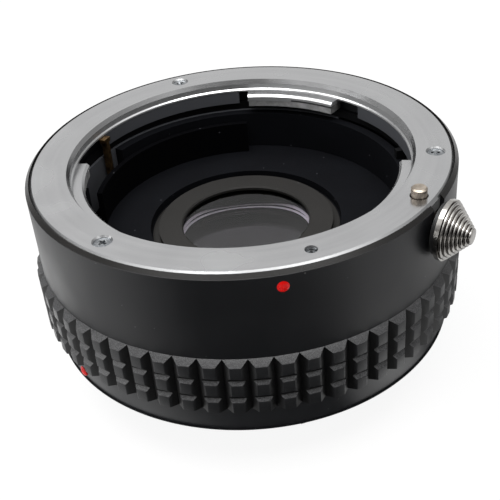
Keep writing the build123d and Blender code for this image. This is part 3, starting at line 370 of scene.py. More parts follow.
def add_world():
    """White behind the part, an even dim light on it, and the tent in its mirrors."""
    world = bpy.data.worlds.new("studio")
    bpy.context.scene.world = world
    tree = new_tree(world)
    path = add_node(tree, "ShaderNodeLightPath").outputs
    light, tent, seen = (
        add_node(tree, "ShaderNodeBackground", {"Color": (1, 1, 1, 1), "Strength": strength}).outputs[0]
        for strength in (WORLD_LIGHT, tent_level(tree), 1.0)
    )
    mix = add_node(tree, "ShaderNodeMixShader", {0: straight_rays(tree), 1: light, 2: tent}).outputs[0]
    mix = add_node(tree, "ShaderNodeMixShader", {0: path["Is Camera Ray"], 1: mix, 2: seen}).outputs[0]
    add_node(tree, "ShaderNodeOutputWorld", {"Surface": mix})


def add_floor():
    """A wide pale floor under the lowest point, with a soft shadow near the part."""
    mesh = bpy.data.meshes.new("floor")
    form = bmesh.new()
    bmesh.ops.create_grid(form, x_segments=2, y_segments=2, size=FLOOR_SIZE)
    form.to_mesh(mesh)
    form.free()
    floor = bpy.data.objects.new("floor", mesh)
    floor.location.z = cad_box[0][2]
    bpy.context.scene.collection.objects.link(floor)
    material = bpy.data.materials.new("pale_floor")
    tree = new_tree(material)
    color = ranged(tree, mirror_rays(tree), 0.0, 1.0, FLOOR_PAINT, 0.0)
    paint = add_node(tree, "ShaderNodeBsdfDiffuse", {"Color": color}).outputs[0]
    level = floor_rays(tree)
    glow = add_node(tree, "ShaderNodeEmission", {"Color": (1, 1, 1, 1), "Strength": level}).outputs[0]
    share = computed(tree, "MULTIPLY", computed(tree, "GREATER_THAN", level, 0.0), FLOOR_GLOW)
    mix = add_node(tree, "ShaderNodeMixShader", {0: share, 1: paint, 2: glow}).outputs[0]
    add_node(tree, "ShaderNodeOutputMaterial", {"Surface": mix})
    mesh.materials.append(material)


# Shader node groups that several finishes share
def new_group(name, inputs, outputs):
    """A shader group with number inputs, given with their defaults, and named number outputs."""
    group = bpy.data.node_groups.new(name, "ShaderNodeTree")
    for label, default in inputs.items():
        socket = group.interface.new_socket(label, in_out="INPUT", socket_type="NodeSocketFloat")
        socket.default_value = default
    for label in outputs:
        group.interface.new_socket(label, in_out="OUTPUT", socket_type="NodeSocketFloat")
    return group, group.nodes.new("NodeGroupInput"), group.nodes.new("NodeGroupOutput")


def placed(tree, group, **values):
    """Puts a shared group into a tree with its own values, and returns what the group puts out."""
    node = tree.nodes.new("ShaderNodeGroup")
    node.node_tree = group
    for name, value in values.items():
        node.inputs[name.replace("_", " ").title()].default_value = value
    return node.outputs


def place_in_millimetres(tree):
    """The point on Object coordinates, in millimetres."""
    place = add_node(tree, "ShaderNodeTexCoord").outputs["Object"]
    return add_node(tree, "ShaderNodeVectorMath", {0: place, "Scale": 1 / MM}, operation="SCALE").outputs[0]


def noise(tree, place, scale, detail):
    """The grey value of a noise pattern."""
    inputs = {"Vector": place, "Scale": scale, "Detail": detail}
    return add_node(tree, "ShaderNodeTexNoise", inputs).outputs["Fac"]


def round_place_group():
    """Radius, height and azimuth of the point, in millimetres and degrees."""
    group, _, out = new_group("round place", {}, ("Radius", "Height", "Azimuth"))
    parts = add_node(group, "ShaderNodeSeparateXYZ", {0: place_in_millimetres(group)}).outputs
    flat = add_node(group, "ShaderNodeCombineXYZ", {0: parts[0], 1: parts[1]}).outputs[0]
    angle = computed(group, "ARCTAN2", parts[1], parts[0])
    group.links.new(measured(group, "LENGTH", flat), out.inputs["Radius"])
    group.links.new(parts[2], out.inputs["Height"])
    group.links.new(computed(group, "MULTIPLY", angle, 180 / pi), out.inputs["Azimuth"])
    return group


def grain_group():
    """Fine even grain with a slow drift over it, as on anodised or painted metal."""
    group, given, out = new_group("grain", {"Fine Scale": 4.0, "Drift Scale": 0.12}, ("Height", "Drift"))
    place = place_in_millimetres(group)
    group.links.new(noise(group, place, given.outputs["Fine Scale"], 3.0), out.inputs["Height"])
    group.links.new(noise(group, place, given.outputs["Drift Scale"], 2.0), out.inputs["Drift"])
    return group


def turned_lines_group(round_place):
    """The fine rings that a lathe leaves, close together across the radius and the height."""
    sizes = {"Line Scale": 9.0, "Along Scale": 0.02}
    group, given, out = new_group("turned lines", sizes, ("Height", "Streak"))
    place = placed(group, round_place)
    along = computed(group, "MULTIPLY", place["Azimuth"], given.outputs["Along Scale"])
    inputs = {0: place["Radius"], 1: place["Height"], 2: along}
    spot = add_node(group, "ShaderNodeCombineXYZ", inputs).outputs[0]
    group.links.new(noise(group, spot, given.outputs["Line Scale"], 4.0), out.inputs["Height"])
    group.links.new(noise(group, spot, STREAK_SCALE, 3.0), out.inputs["Streak"])
    return group


def specks_group():
    """Sparse specks of dust: 1 inside a speck, 0 elsewhere."""
    group, given, out = new_group("specks", {"Scale": 0.9, "Size": 0.06}, ("Mask",))
    inputs = {"Vector": place_in_millimetres(group), "Scale": given.outputs["Scale"]}
    cells = add_node(group, "ShaderNodeTexVoronoi", inputs, feature="F1").outputs
    near = computed(group, "LESS_THAN", cells["Distance"], given.outputs["Size"])
    chosen = add_node(group, "ShaderNodeSeparateColor", {0: cells["Color"]}).outputs[0]
    few = computed(group, "LESS_THAN", chosen, SPECK_SHARE)
    group.links.new(computed(group, "MULTIPLY", near, few), out.inputs["Mask"])
    return group


def band_group(round_place):
    """A soft band between two heights in millimetres, broken up a little: 1 inside it."""
    sizes = {"Low": 0.0, "High": 1.0, "Softness": 0.1, "Breakup": 0.2}
    group, given, out = new_group("worn band", sizes, ("Mask",))
    math = partial(computed, group)
    where = add_node(group, "ShaderNodeTexCoord").outputs["Object"]
    centred = math("SUBTRACT", noise(group, where, BREAKUP_SCALE, 3.0), 0.5)
    shift = math("MULTIPLY", centred, given.outputs["Breakup"])
    height = math("ADD", placed(group, round_place)["Height"], shift)
    edges = []
    for label, sign in (("Low", 1), ("High", -1)):
        inside = math("MULTIPLY", math("SUBTRACT", height, given.outputs[label]), sign)
        edges.append(math("DIVIDE", inside, given.outputs["Softness"], use_clamp=True))
    group.links.new(math("MULTIPLY", *edges), out.inputs["Mask"])
    return group


ROUND_PLACE = round_place_group()
GRAIN = grain_group()
TURNED_LINES = turned_lines_group(ROUND_PLACE)
SPECKS = specks_group()
BAND = band_group(ROUND_PLACE)


# Building blocks of a finish
def mixed_color(tree, share, first, second):
    """The first colour where the share is 0 and the second where it is 1."""
    mix = add_node(tree, "ShaderNodeMix", {0: share}, data_type="RGBA")
    for number, value in ((6, first), (7, second)):
        if isinstance(value, bpy.types.NodeSocket):
            tree.links.new(value, mix.inputs[number])
        else:
            mix.inputs[number].default_value = (*value, 1)
    return mix.outputs[2]


def ranged(tree, value, low, high, to_low, to_high):
    """The value carried from one range to another, and held at its ends."""
    node = add_node(tree, "ShaderNodeMapRange", {0: value, 1: low, 2: high, 3: to_low, 4: to_high})
    return node.outputs[0]


def facing_up(tree):
    """How far the surface faces up: 1 straight up, 0 on a wall, -1 straight down."""
    normal = add_node(tree, "ShaderNodeTexCoord").outputs["Normal"]
    return add_node(tree, "ShaderNodeSeparateXYZ", {0: normal}).outputs[2]


def set_color(tree, surface, color):
    tree.links.new(color, surface.inputs["Base Color"])


def set_roughness(tree, surface, roughness):
    tree.links.new(roughness, surface.inputs["Roughness"])


def set_bump(tree, surface, height, strength, distance):
    """Tilts the surface by a height pattern; the distance is in millimetres."""
    inputs = {"Height": height, "Strength": strength, "Distance": distance * MM}
    tree.links.new(add_node(tree, "ShaderNodeBump", inputs).outputs[0], surface.inputs["Normal"])


def finish(name, tree_maker, **plain):
    """A material with a Principled shader; the maker links what varies over the surface."""
    material = bpy.data.materials.new(name)
    tree = new_tree(material)
    surface = add_node(tree, "ShaderNodeBsdfPrincipled")
    for label, value in plain.items():
        surface.inputs[label.replace("_", " ")].default_value = value
    tree_maker(tree, surface)
    add_node(tree, "ShaderNodeOutputMaterial", {"Surface": surface.outputs[0]})
    return material


# The finishes
def barrel_finish():
    """Satin black anodising with a fine grain, a browner bevel and a few specks of dust."""
    def maker(tree, surface):
        grain = placed(tree, GRAIN, fine_scale=7.0, drift_scale=0.1)
        rim = placed(tree, BAND, low=25.32, high=25.98, softness=0.06, breakup=0.08)["Mask"]
        # Painted light: inside a radius of 24.9 mm the black turns to a lighter grey that stands in for light
        # caught on the lower throat wall.
        painted_light_collar = ranged(tree, placed(tree, ROUND_PLACE)["Radius"], 24.9, 25.0, 1.0, 0.0)
        dust = placed(tree, SPECKS, scale=0.8, size=0.05)["Mask"]
        black = mixed_color(tree, grain["Drift"], (0.0022, 0.0024, 0.0032), (0.004, 0.0043, 0.0055))
        with_rim = mixed_color(tree, rim, black, (0.0028, 0.0023, 0.0018))
        with_painted_light_collar = mixed_color(tree, painted_light_collar, with_rim, (0.05, 0.052, 0.058))
        color = mixed_color(tree, dust, with_painted_light_collar, (0.12, 0.12, 0.12))
        set_color(tree, surface, color)
        rough = ranged(tree, grain["Drift"], 0.3, 0.7, 0.4, 0.5)
        polish = computed(tree, "MULTIPLY", rim, 0.2)
        set_roughness(tree, surface, computed(tree, "SUBTRACT", rough, polish))
        set_bump(tree, surface, grain["Height"], 0.2, 0.02)
    return finish("satin_black_barrel", maker, Specular_IOR_Level=0.4)


def skirt_finish():
    """The barrel's black, a little smoother and lighter on the skirt."""
    def maker(tree, surface):
        grain = placed(tree, GRAIN, fine_scale=7.0, drift_scale=0.15)
        dust = placed(tree, SPECKS, scale=0.7, size=0.05)["Mask"]
        black = mixed_color(tree, grain["Drift"], (0.0062, 0.0066, 0.0078), (0.0105, 0.0112, 0.0126))
        set_color(tree, surface, mixed_color(tree, dust, black, (0.1, 0.1, 0.1)))
        rough = ranged(tree, grain["Drift"], 0.3, 0.7, 0.34, 0.44)
        set_roughness(tree, surface, rough)
        set_bump(tree, surface, grain["Height"], 0.2, 0.02)
    return finish("skirt_black", maker, Specular_IOR_Level=0.4)


def grip_finish():
    """Cast black metal: smooth dark faces, dull flanks, painted shade deep in the grooves, and a pale painted
    highlight, broken into specks by the grain, where a flank faces up.
    """
    def maker(tree, surface):
        grain = placed(tree, GRAIN, fine_scale=9.0, drift_scale=0.3)
        # Painted highlight: flanks that face up get a pale colour, broken into specks by the grain, where the
        # lamps above would light them.
        painted_highlight_share = ranged(tree, facing_up(tree), 0.35, 0.6, 0.0, 1.0)
        painted_highlight_specks = ranged(tree, grain["Height"], 0.42, 0.6, 0.0, 1.0)
        # The pale colour is the painted highlight of the upward flanks.
        pale = mixed_color(tree, painted_highlight_specks, (0.004, 0.004, 0.0045), (0.05, 0.05, 0.052))
        face = mixed_color(tree, grain["Drift"], (0.0045, 0.0048, 0.0056), (0.008, 0.0084, 0.0094))
        # Painted shade: the groove floors, below a radius of 31 mm, are darkened where shade falls between the
        # blocks.
        painted_groove_shade = ranged(tree, placed(tree, ROUND_PLACE)["Radius"], 31.0, 31.25, 1.0, 0.0)
        black = mixed_color(tree, painted_groove_shade, face, (0.0012, 0.0012, 0.0014))
        set_color(tree, surface, mixed_color(tree, painted_highlight_share, black, pale))
        rough = ranged(tree, grain["Height"], 0.3, 0.7, 0.36, 0.5)
        set_roughness(tree, surface, rough)
        set_bump(tree, surface, grain["Height"], 0.45, 0.03)
    return finish("cast_black_grip", maker, Specular_IOR_Level=0.45)


def chrome_finish():
    """Satin chrome with faint turned lines, slightly uneven and duller on its upright walls."""
    def maker(tree, surface):
        lines = placed(tree, TURNED_LINES, line_scale=9.0, along_scale=0.02)
        grain = placed(tree, GRAIN, fine_scale=3.0, drift_scale=0.15)
        color = mixed_color(tree, lines["Streak"], (0.362, 0.365, 0.37), (0.43, 0.431, 0.434))
        set_color(tree, surface, color)
        rough = ranged(tree, grain["Drift"], 0.3, 0.7, 0.2, 0.3)
        flat = computed(tree, "ABSOLUTE", facing_up(tree))
        wall = ranged(tree, flat, 0.15, 0.35, 0.36, 0.0)
        set_roughness(tree, surface, computed(tree, "ADD", rough, wall))
        set_bump(tree, surface, lines["Height"], 0.05, 0.01)
    return finish("satin_chrome", maker, Metallic=1.0)


def nickel_finish(name, dark, light, roughness):
    """Plated metal with a slow stain over it."""
    def maker(tree, surface):
        grain = placed(tree, GRAIN, fine_scale=6.0, drift_scale=0.9)
        stain = ranged(tree, grain["Drift"], 0.35, 0.65, 0.0, 1.0)
        set_color(tree, surface, mixed_color(tree, stain, dark, light))
        rough = ranged(tree, grain["Height"], 0.3, 0.7, roughness * 0.8, roughness * 1.3)
        set_roughness(tree, surface, rough)
        set_bump(tree, surface, grain["Height"], 0.15, 0.01)
    return finish(name, maker, Metallic=1.0)


def matt_black_finish(name, dark, light, roughness, specular):
    """Flocked or painted black that swallows light, with dust on it."""
    def maker(tree, surface):
        grain = placed(tree, GRAIN, fine_scale=9.0, drift_scale=0.2)
        dust = placed(tree, SPECKS, scale=0.6, size=0.07)["Mask"]
        black = mixed_color(tree, grain["Drift"], dark, light)
        set_color(tree, surface, mixed_color(tree, dust, black, (0.04, 0.04, 0.045)))
        rough = ranged(tree, grain["Height"], 0.3, 0.7, roughness * 0.9, roughness * 1.1)
        set_roughness(tree, surface, rough)
        set_bump(tree, surface, grain["Height"], 0.3, 0.03)
    return finish(name, maker, Specular_IOR_Level=specular)


def enamel_finish():
    """Red enamel with a thin clear coat and a slightly uneven fill."""
    def maker(tree, surface):
        grain = placed(tree, GRAIN, fine_scale=3.0, drift_scale=1.2)
        color = mixed_color(tree, grain["Drift"], (0.34, 0.001, 0.0006), (0.46, 0.0016, 0.001))
        set_color(tree, surface, color)
        set_bump(tree, surface, grain["Height"], 0.1, 0.02)
    gloss = {"Roughness": 0.3, "Coat_Weight": 0.12, "Coat_Roughness": 0.08, "Specular_IOR_Level": 0.15}
    return finish("red_enamel", maker, **gloss)


def glass_finish(name, dark, light, ior):
    """Coated glass with a faint violet bloom; where its colours are dark, as on the inner glass, they are
    painted shade of the dark interior seen through it.
    """
    def maker(tree, surface):
        grain = placed(tree, GRAIN, fine_scale=1.0, drift_scale=0.4)
        set_color(tree, surface, mixed_color(tree, grain["Drift"], dark, light))
    return finish(name, maker, Roughness=0.01, IOR=ior, Transmission_Weight=1.0)


FINISHES = {
    "barrel_black": barrel_finish(),
    "grip_black": grip_finish(),
    "skirt_black": skirt_finish(),
    "mount_chrome": chrome_finish(),
    "knob_nickel": nickel_finish("knob_nickel", (0.24, 0.23, 0.218), (0.4, 0.387, 0.366), 0.12),
    "pin_nickel": nickel_finish("warm_nickel", (0.26, 0.22, 0.18), (0.43, 0.375, 0.315), 0.34),
    "screw_steel": nickel_finish("screw_steel", (0.16, 0.17, 0.18), (0.32, 0.33, 0.34), 0.24),
    "bright_lip": nickel_finish("bright_lip", (0.9, 0.89, 0.88), (0.98, 0.97, 0.96), 0.5),
    "spring_steel": nickel_finish("spring_steel", (0.42, 0.42, 0.42), (0.6, 0.6, 0.6), 0.55),
    "arm_steel": nickel_finish("arm_steel", (0.24, 0.23, 0.22), (0.4, 0.39, 0.37), 0.3),
    "finger_brass": nickel_finish("dull_brass", (0.045, 0.024, 0.011), (0.16, 0.1, 0.045), 0.45),
    "washer_black": matt_black_finish(
        "blackened_washer", (0.006, 0.006, 0.006), (0.012, 0.012, 0.012), 0.5, 0.3
    ),
    "index_red": enamel_finish(),
    "chamber_black": matt_black_finish(
        "chamber_black", (0.001, 0.0011, 0.0017), (0.0024, 0.0027, 0.0038), 0.8, 0.06
    ),
    "flocked_black": matt_black_finish(
        "flocked_black", (0.0006, 0.0006, 0.0009), (0.0012, 0.0012, 0.0016), 0.9, 0.02
    ),
    "coupling_black": matt_black_finish(
        "coupling_black", (0.0012, 0.0012, 0.0015), (0.003, 0.003, 0.0035), 0.6, 0.08
    ),
    "cell_black": matt_black_finish(
        "cell_brown_black", (0.0065, 0.006, 0.0055), (0.0105, 0.0098, 0.0089), 0.62, 0.2
    ),
    "coated_glass": glass_finish("coated_glass", (0.62, 0.59, 0.66), (0.68, 0.65, 0.72), 1.33),
    # Painted shade: the inner glass is tinted dark grey to stand in for the shade inside the converter seen
    # through the lenses.
    "inner_glass": glass_finish("inner_glass", (0.14, 0.133, 0.152), (0.18, 0.172, 0.192), 1.12),
}


# Where a finish isn't named after its slot
SLOT_FINISHES = {"glass_coated": "coated_glass"}
NODE_FINISHES = {"chamber_guard": "flocked_black"}


def dress_solids():
    """Gives every solid the finish of its slot, or its own."""
    for row in frame["record"]["subparts"]:
        slot = row["material_slot"]
        finish_name = NODE_FINISHES.get(row["node"], SLOT_FINISHES.get(slot, slot))
        materials = nodes[row["node"]].data.materials
        materials.clear()
        materials.append(FINISHES[finish_name])


# Mesh helpers
def new_piece(name, form, finish_name):
    """Turns a finished bmesh into an object at the origin, with its finish."""
    mesh = bpy.data.meshes.new(name)
    bmesh.ops.recalc_face_normals(form, faces=form.faces)
    form.to_mesh(mesh)
    form.free()
    piece = bpy.data.objects.new(name, mesh)
    bpy.context.scene.collection.objects.link(piece)
    mesh.materials.append(FINISHES[finish_name])
    smooth_by_angle(mesh)
    return piece


def smooth_by_angle(mesh, limit=radians(32)):
    """Shades smoothly, with sharp edges where the faces turn by more than the limit."""
    for face in mesh.polygons:
        face.use_smooth = True
    mesh.set_sharp_from_angle(angle=limit)


def spun_form(outline, closed=True):
    """A bmesh turned about the Z axis from (radius, height) points; a radius of 0 closes a pole."""
    form = bmesh.new()
    points = [form.verts.new((radius, 0, height)) for radius, height in outline]
    edges = [form.edges.new(pair) for pair in zip(points, points[1:])]
    if closed:
        edges.append(form.edges.new((points[-1], points[0])))
    bmesh.ops.spin(
        form,
        geom=points + edges,
        axis=(0, 0, 1),
        cent=(0, 0, 0),
        angle=2 * pi,
        steps=ROUND_STEPS,
        use_merge=True,
    )
    bmesh.ops.remove_doubles(form, verts=form.verts, dist=MERGE_GAP)
    return form


def rounded_corner(radius, height, turn_r, turn_z, size, steps=4):
    """Points of a quarter round: from size along turn_r to size along turn_z of a square corner."""
    points = []
    for i in range(steps + 1):
        angle = pi / 2 * i / steps
        along = radius + turn_r * size * (1 - sin(angle))
        points.append((along, height + turn_z * size * (1 - cos(angle))))
    return points


# Copies around the axis, by Geometry Nodes
def copies_tree():
    """Copies of one piece in rings around the Z axis, one ring for each row."""
    tree = bpy.data.node_groups.new("copies around the axis", "GeometryNodeTree")
    for label, kind in (
        ("Piece", "NodeSocketObject"),
        ("Finish", "NodeSocketMaterial"),
        ("Columns", "NodeSocketInt"),
        ("Rows", "NodeSocketInt"),
        ("Radius", "NodeSocketFloat"),
        ("Lowest Row", "NodeSocketFloat"),
        ("Row Step", "NodeSocketFloat"),
        ("Phase", "NodeSocketFloat"),
    ):
        tree.interface.new_socket(label, in_out="INPUT", socket_type=kind)
    tree.interface.new_socket("Geometry", in_out="OUTPUT", socket_type="NodeSocketGeometry")
    given = tree.nodes.new("NodeGroupInput").outputs
    math = partial(computed, tree)
    count = math("MULTIPLY", given["Columns"], given["Rows"])
    points = add_node(tree, "GeometryNodePoints", {"Count": count}).outputs[0]
    index = tree.nodes.new("GeometryNodeInputIndex").outputs[0]
    row = math("FLOOR", math("DIVIDE", math("ADD", index, 0.5), given["Columns"]))
    column = math("SUBTRACT", index, math("MULTIPLY", row, given["Columns"]))
    turn = math("DIVIDE", math("MULTIPLY", column, 2 * pi), given["Columns"])
    angle = math("ADD", turn, math("RADIANS", given["Phase"]))
    where = {
        0: math("MULTIPLY", given["Radius"], math("COSINE", angle)),
        1: math("MULTIPLY", given["Radius"], math("SINE", angle)),
        2: math("ADD", given["Lowest Row"], math("MULTIPLY", row, given["Row Step"])),
    }
    place = add_node(tree, "ShaderNodeCombineXYZ", where).outputs[0]
    points = add_node(tree, "GeometryNodeSetPosition", {"Geometry": points, "Position": place}).outputs[0]
    turned = add_node(tree, "ShaderNodeCombineXYZ", {2: angle}).outputs[0]
    piece = add_node(tree, "GeometryNodeObjectInfo", {"Object": given["Piece"]}).outputs["Geometry"]
    inputs = {"Points": points, "Instance": piece, "Rotation": turned}
    copies = add_node(tree, "GeometryNodeInstanceOnPoints", inputs).outputs[0]
    real = add_node(tree, "GeometryNodeRealizeInstances", {"Geometry": copies}).outputs[0]
    inputs = {"Geometry": real, "Material": given["Finish"]}
    finished = add_node(tree, "GeometryNodeSetMaterial", inputs).outputs[0]
    add_node(tree, "NodeGroupOutput", {"Geometry": finished})
    return tree


COPIES = copies_tree()


def copied_around(name, piece, finish_name, **sizes):
    """Runs the tree on one piece, keeps its plain mesh and deletes the single piece."""
    carrier = bpy.data.objects.new(name, bpy.data.meshes.new(name))
    bpy.context.scene.collection.objects.link(carrier)
    modifier = carrier.modifiers.new("copies", "NODES")
    modifier.node_group = COPIES
    values = {"Piece": piece, "Finish": FINISHES[finish_name]}
    values.update({label.replace("_", " ").title(): size for label, size in sizes.items()})
    for socket in COPIES.interface.items_tree:
        if socket.in_out == "INPUT":
            modifier[socket.identifier] = values[socket.name]
    graph = bpy.context.evaluated_depsgraph_get()
    mesh = bpy.data.meshes.new_from_object(carrier.evaluated_get(graph))
    carrier.modifiers.remove(modifier)
    carrier.data = mesh
    smooth_by_angle(mesh)
    bpy.data.objects.remove(piece)
    return carrier


# Rear barrel
def grip_column():
    """One column of blocks, foot at x = 0 and faces along +X: level faces, V rows, a sloped shoulder."""
    stations = [(SKIRT_HEIGHT, -BLOCK_SINK)]
    for row in range(BLOCK_ROWS):
        low = SKIRT_HEIGHT + BLOCK_ROW_STEP * row
        if row > 0:
            gap_low = low - BLOCK_ROW_STEP + BLOCK_FACE_HEIGHT + BLOCK_ROW_SLOPE
            stations.append((gap_low, BLOCK_RAISE - BLOCK_ROW_DEPTH))
            stations.append((low - BLOCK_ROW_SLOPE, BLOCK_RAISE - BLOCK_ROW_DEPTH))
        stations.append((low, BLOCK_RAISE))
        stations.append((low + BLOCK_FACE_HEIGHT, BLOCK_RAISE))
    stations.append((GRIP_TOP, 0))
    stations.append((GRIP_TOP, -BLOCK_SINK))
    narrowing = (BLOCK_FOOT_WIDTH - BLOCK_FACE_WIDTH) / BLOCK_RAISE
    form = bmesh.new()
    sides = []
    for side in (-1, 1):
        sides.append([
            form.verts.new((raised, side * (BLOCK_FOOT_WIDTH - narrowing * raised) / 2, height))
            for height, raised in stations
        ])
    left, right = sides
    form.faces.new(left)
    form.faces.new(right)
    count = len(stations)
    for i in range(count):
        following = (i + 1) % count
        form.faces.new((left[i], left[following], right[following], right[i]))
    crest = [edge for edge in form.edges if all(point.co.x > 0 for point in edge.verts)]
    bmesh.ops.bevel(form, geom=crest, offset=BLOCK_ROUND, segments=2, profile=0.5, affect="EDGES")
    return new_piece("grip_column", form, "grip_black")


def add_rear_barrel():
    """The shell with its skirt, and the rows of blocks on it."""
    outline = [(FLANGE_SEAT_R, SKIRT_LIFT)]
    outline += reversed(rounded_corner(SKIRT_R, SKIRT_LIFT, -1, 1, SKIRT_ROUND))
    outline += [
        (BARREL_R, SKIRT_HEIGHT),
        (BARREL_R, GRIP_TOP),
        (SLEEVE_R, GRIP_TOP),
        (SLEEVE_R, SLEEVE_LOW),
        (CAVITY_R, SLEEVE_LOW),
        (CAVITY_R, FLANGE_SEAT_Z),
        (FLANGE_SEAT_R, FLANGE_SEAT_Z),
    ]
    shell = new_piece("rear_shell", spun_form(outline), "skirt_black")
    blocks = copied_around(
        "grip_blocks",
        grip_column(),
        "grip_black",
        columns=BLOCK_COLUMNS,
        rows=1,
        radius=BARREL_R,
        lowest_row=0.0,
        row_step=0.0,
        phase=BLOCK_PHASE,
    )
    for piece in (shell, blocks):
        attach(piece, "converter")
        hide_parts("rear_barrel")


# Screws
def cross_recess_form():
    """A four-armed plug that narrows to its floor, to be cut out of a screw head."""
    form = bmesh.new()
    for turn in (0, pi / 2):
        rings = []
        for height, share in ((SCREW_HEAD_SINK, 1.0), (-RECESS_DEPTH, RECESS_FLOOR_SHARE)):
            ring = []
            for along, across in ((-1, -1), (1, -1), (1, 1), (-1, 1)):
                corner = Vector((along * RECESS_REACH * share, across * RECESS_WIDTH / 2, height))
                ring.append(form.verts.new(Matrix.Rotation(turn, 3, "Z") @ corner))
            rings.append(ring)
        for i in range(4):
            following = (i + 1) % 4
            form.faces.new((rings[1][i], rings[1][following], rings[0][following], rings[0][i]))
        form.faces.new(rings[0])
        form.faces.new(list(reversed(rings[1])))
    return form


def screw_piece(name):
    """A countersunk screw with a rounded rim and a cross recess, its seat plane at z = 0."""
    outline = [(0, -SCREW_HEAD_SINK)]
    outline += rounded_corner(SCREW_HEAD_R, -SCREW_HEAD_SINK, -1, -1, SCREW_HEAD_ROUND)[::-1]
    outline += [
        (SCREW_SHANK_R, -SCREW_HEAD_SINK - SCREW_CONE),
        (SCREW_SHANK_R, -SCREW_LENGTH),
        (0, -SCREW_LENGTH),
    ]
    screw = new_piece(name, spun_form(outline, closed=False), "screw_steel")
    plug = new_piece(name + "_plug", cross_recess_form(), "screw_steel")
    cut = screw.modifiers.new("recess", "BOOLEAN")
    cut.operation = "DIFFERENCE"
    cut.solver = "EXACT"
    cut.use_self = True
    cut.object = plug
    graph = bpy.context.evaluated_depsgraph_get()
    mesh = bpy.data.meshes.new_from_object(screw.evaluated_get(graph))
    screw.modifiers.remove(cut)
    screw.data = mesh
    bpy.data.objects.remove(plug)
    return screw


def add_screws():
    """Three screws in the front ring, and five in the rear bayonet, turned over."""
    front = copied_around(
        "front_screws",
        screw_piece("front_screw"),
        "screw_steel",
        columns=SCREW_COUNT,
        rows=1,
        radius=SCREW_R,
        lowest_row=FACE_Z,
        row_step=0.0,
        phase=SCREW_PHASE,
    )
    turned_over = screw_piece("rear_screw")
    turned_over.data.transform(Matrix.Rotation(pi, 4, "X"))
    rear = copied_around(
        "rear_screws",
        turned_over,
        "screw_steel",
        columns=REAR_SCREW_COUNT,
        rows=1,
        radius=REAR_SCREW_R,
        lowest_row=0.0,
        row_step=0.0,
        phase=REAR_SCREW_PHASE,
    )
    for piece, node in ((front, "front_mount_screws"), (rear, "rear_mount_screws")):
        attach(piece, "converter")
        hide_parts(node)


def add_hole_thread():
    """The cut thread inside the small tapped hole of the front ring."""
    outline = []
    low = FACE_Z - THREAD_START
    for i in range(THREAD_TURNS):
        outline.append((TAPPED_R, low - THREAD_PITCH * i))
        outline.append((TAPPED_R - THREAD_DEPTH, low - THREAD_PITCH * (i + 0.5)))
    outline.append((TAPPED_R, low - THREAD_PITCH * THREAD_TURNS))
    form = spun_form(outline)
    form.transform(Matrix.Translation(polar(TAPPED_AZIMUTH, SCREW_R)))
    thread = new_piece("hole_thread", form, "screw_steel")
    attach(thread, "converter")


# Release knob
def add_knob():
    """A cone of rounded ribs on a polished land, its axis along the radius of the lock."""
    outline = [(STEM_R, 0), (KNOB_R, 0), (KNOB_R, KNOB_LAND)]
    step = (KNOB_LENGTH - KNOB_LAND) / KNOB_RIBS
    drop = (KNOB_R - KNOB_TIP_R) / KNOB_RIBS
    for i in range(KNOB_RIBS):
        low = KNOB_LAND + step * i
        crest = KNOB_R - drop * (i + 0.6)
        for share, depth in RIB_SECTION:
            outline.append((crest - KNOB_GROOVE * depth, low + step * share))
    outline += [(KNOB_TIP_R * 0.6, KNOB_LENGTH), (0, KNOB_LENGTH)]
    outline += [(0, STEM_IN_KNOB), (STEM_R, STEM_IN_KNOB)]
    form = spun_form(outline)
    towards = polar(LOCK_AZIMUTH, 1).to_track_quat("Z", "Y").to_matrix().to_4x4()
    form.transform(Matrix.Translation(polar(LOCK_AZIMUTH, KNOB_BASE_R, KNOB_Z)) @ towards)
    knob = new_piece("ribbed_knob", form, "knob_nickel")
    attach(knob, "lock")
    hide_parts("release_knob")


# Lens elements and the spacer between the first two
def face_points(radius, edge_height, sag):
    """Points of a spherical face from the rim in to the axis; a positive sag is a crown."""
    sphere_r = (radius ** 2 + sag ** 2) / (2 * abs(sag))
    points = []
    for i in range(GLASS_FACE_STEPS + 1):
        out = radius * (1 - i / GLASS_FACE_STEPS)
        drop = sphere_r - sqrt(sphere_r ** 2 - out ** 2)
        points.append((out, edge_height + sag - (drop if sag > 0 else -drop)))
    return points


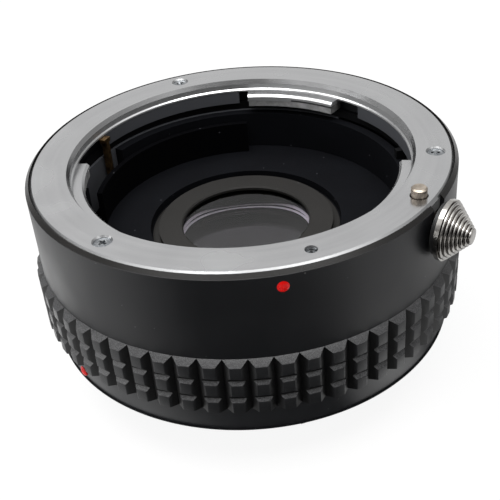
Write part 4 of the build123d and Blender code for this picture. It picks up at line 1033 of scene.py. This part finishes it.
def add_lenses():
    """Each element is turned with fine spherical faces and a rim."""
    for node, finish_name, top, edge, top_sag, under_sag in LENSES:
        outline = [(GLASS_R, top - edge), (GLASS_R, top)]
        outline += face_points(GLASS_FACE_R, top, top_sag)
        outline += reversed(face_points(GLASS_FACE_R, top - edge, -under_sag))
        lens = new_piece(node + "_glass", spun_form(outline), finish_name)
        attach(lens, "converter")
        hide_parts(node)


def add_lipped_spacer():
    """The ring between the first two elements, with two bright lips inside it."""
    low = SPACER_TOP - SPACER_HEIGHT
    wall = [
        (SPACER_WALL_R, low + SPACER_RELIEF),
        (GLASS_FACE_R, low),
        (SPACER_OUTER_R, low),
        (SPACER_OUTER_R, SPACER_TOP),
        (SPACER_WALL_R, SPACER_TOP),
    ]
    spacer = new_piece("spacer_wall", spun_form(wall), "cell_black")
    lips = bmesh.new()
    for i in range(SPACER_LIPS):
        high = SPACER_TOP - SPACER_LIP_STEP * i
        lip = [
            (SPACER_LIP_R, high - SPACER_LIP_DROP),
            (SPACER_WALL_R, high - SPACER_LIP_HEIGHT),
            (SPACER_WALL_R, high),
        ]
        ring = spun_form(lip)
        mesh = bpy.data.meshes.new("lip")
        ring.to_mesh(mesh)
        ring.free()
        lips.from_mesh(mesh)
        bpy.data.meshes.remove(mesh)
    rims = new_piece("spacer_lips", lips, "bright_lip")
    for piece, slot in ((spacer, "cell_black"), (rims, "screw_steel")):
        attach(piece, "converter")
        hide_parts("front_spacer")


# Springs, copied as plain meshes
def spring_copy(node):
    """A copy of a spring's solid, as its own mesh in place of the solid."""
    form = bmesh.new()
    form.from_mesh(nodes[node].data)
    bmesh.ops.remove_doubles(form, verts=form.verts, dist=MERGE_GAP)
    wire = new_piece(node + "_wire", form, "spring_steel")
    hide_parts(node)
    return wire


def add_giving_springs():
    """Each spring is copied as its own mesh; the lock spring's copy goes with the converter."""
    for node, body, anchor, touch in GIVING_SPRINGS:
        wire = spring_copy(node)
        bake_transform(wire)
    coil = spring_copy("lock_spring")
    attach(coil, "converter")
    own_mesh(coil)


add_camera()
add_world()
add_floor()
for lamp in LAMPS:
    add_softbox(*lamp)
dress_solids()
add_rear_barrel()
add_screws()
add_hole_thread()
add_knob()
add_lenses()
add_lipped_spacer()
add_giving_springs()

bpy.context.scene.view_settings.view_transform = "Standard"
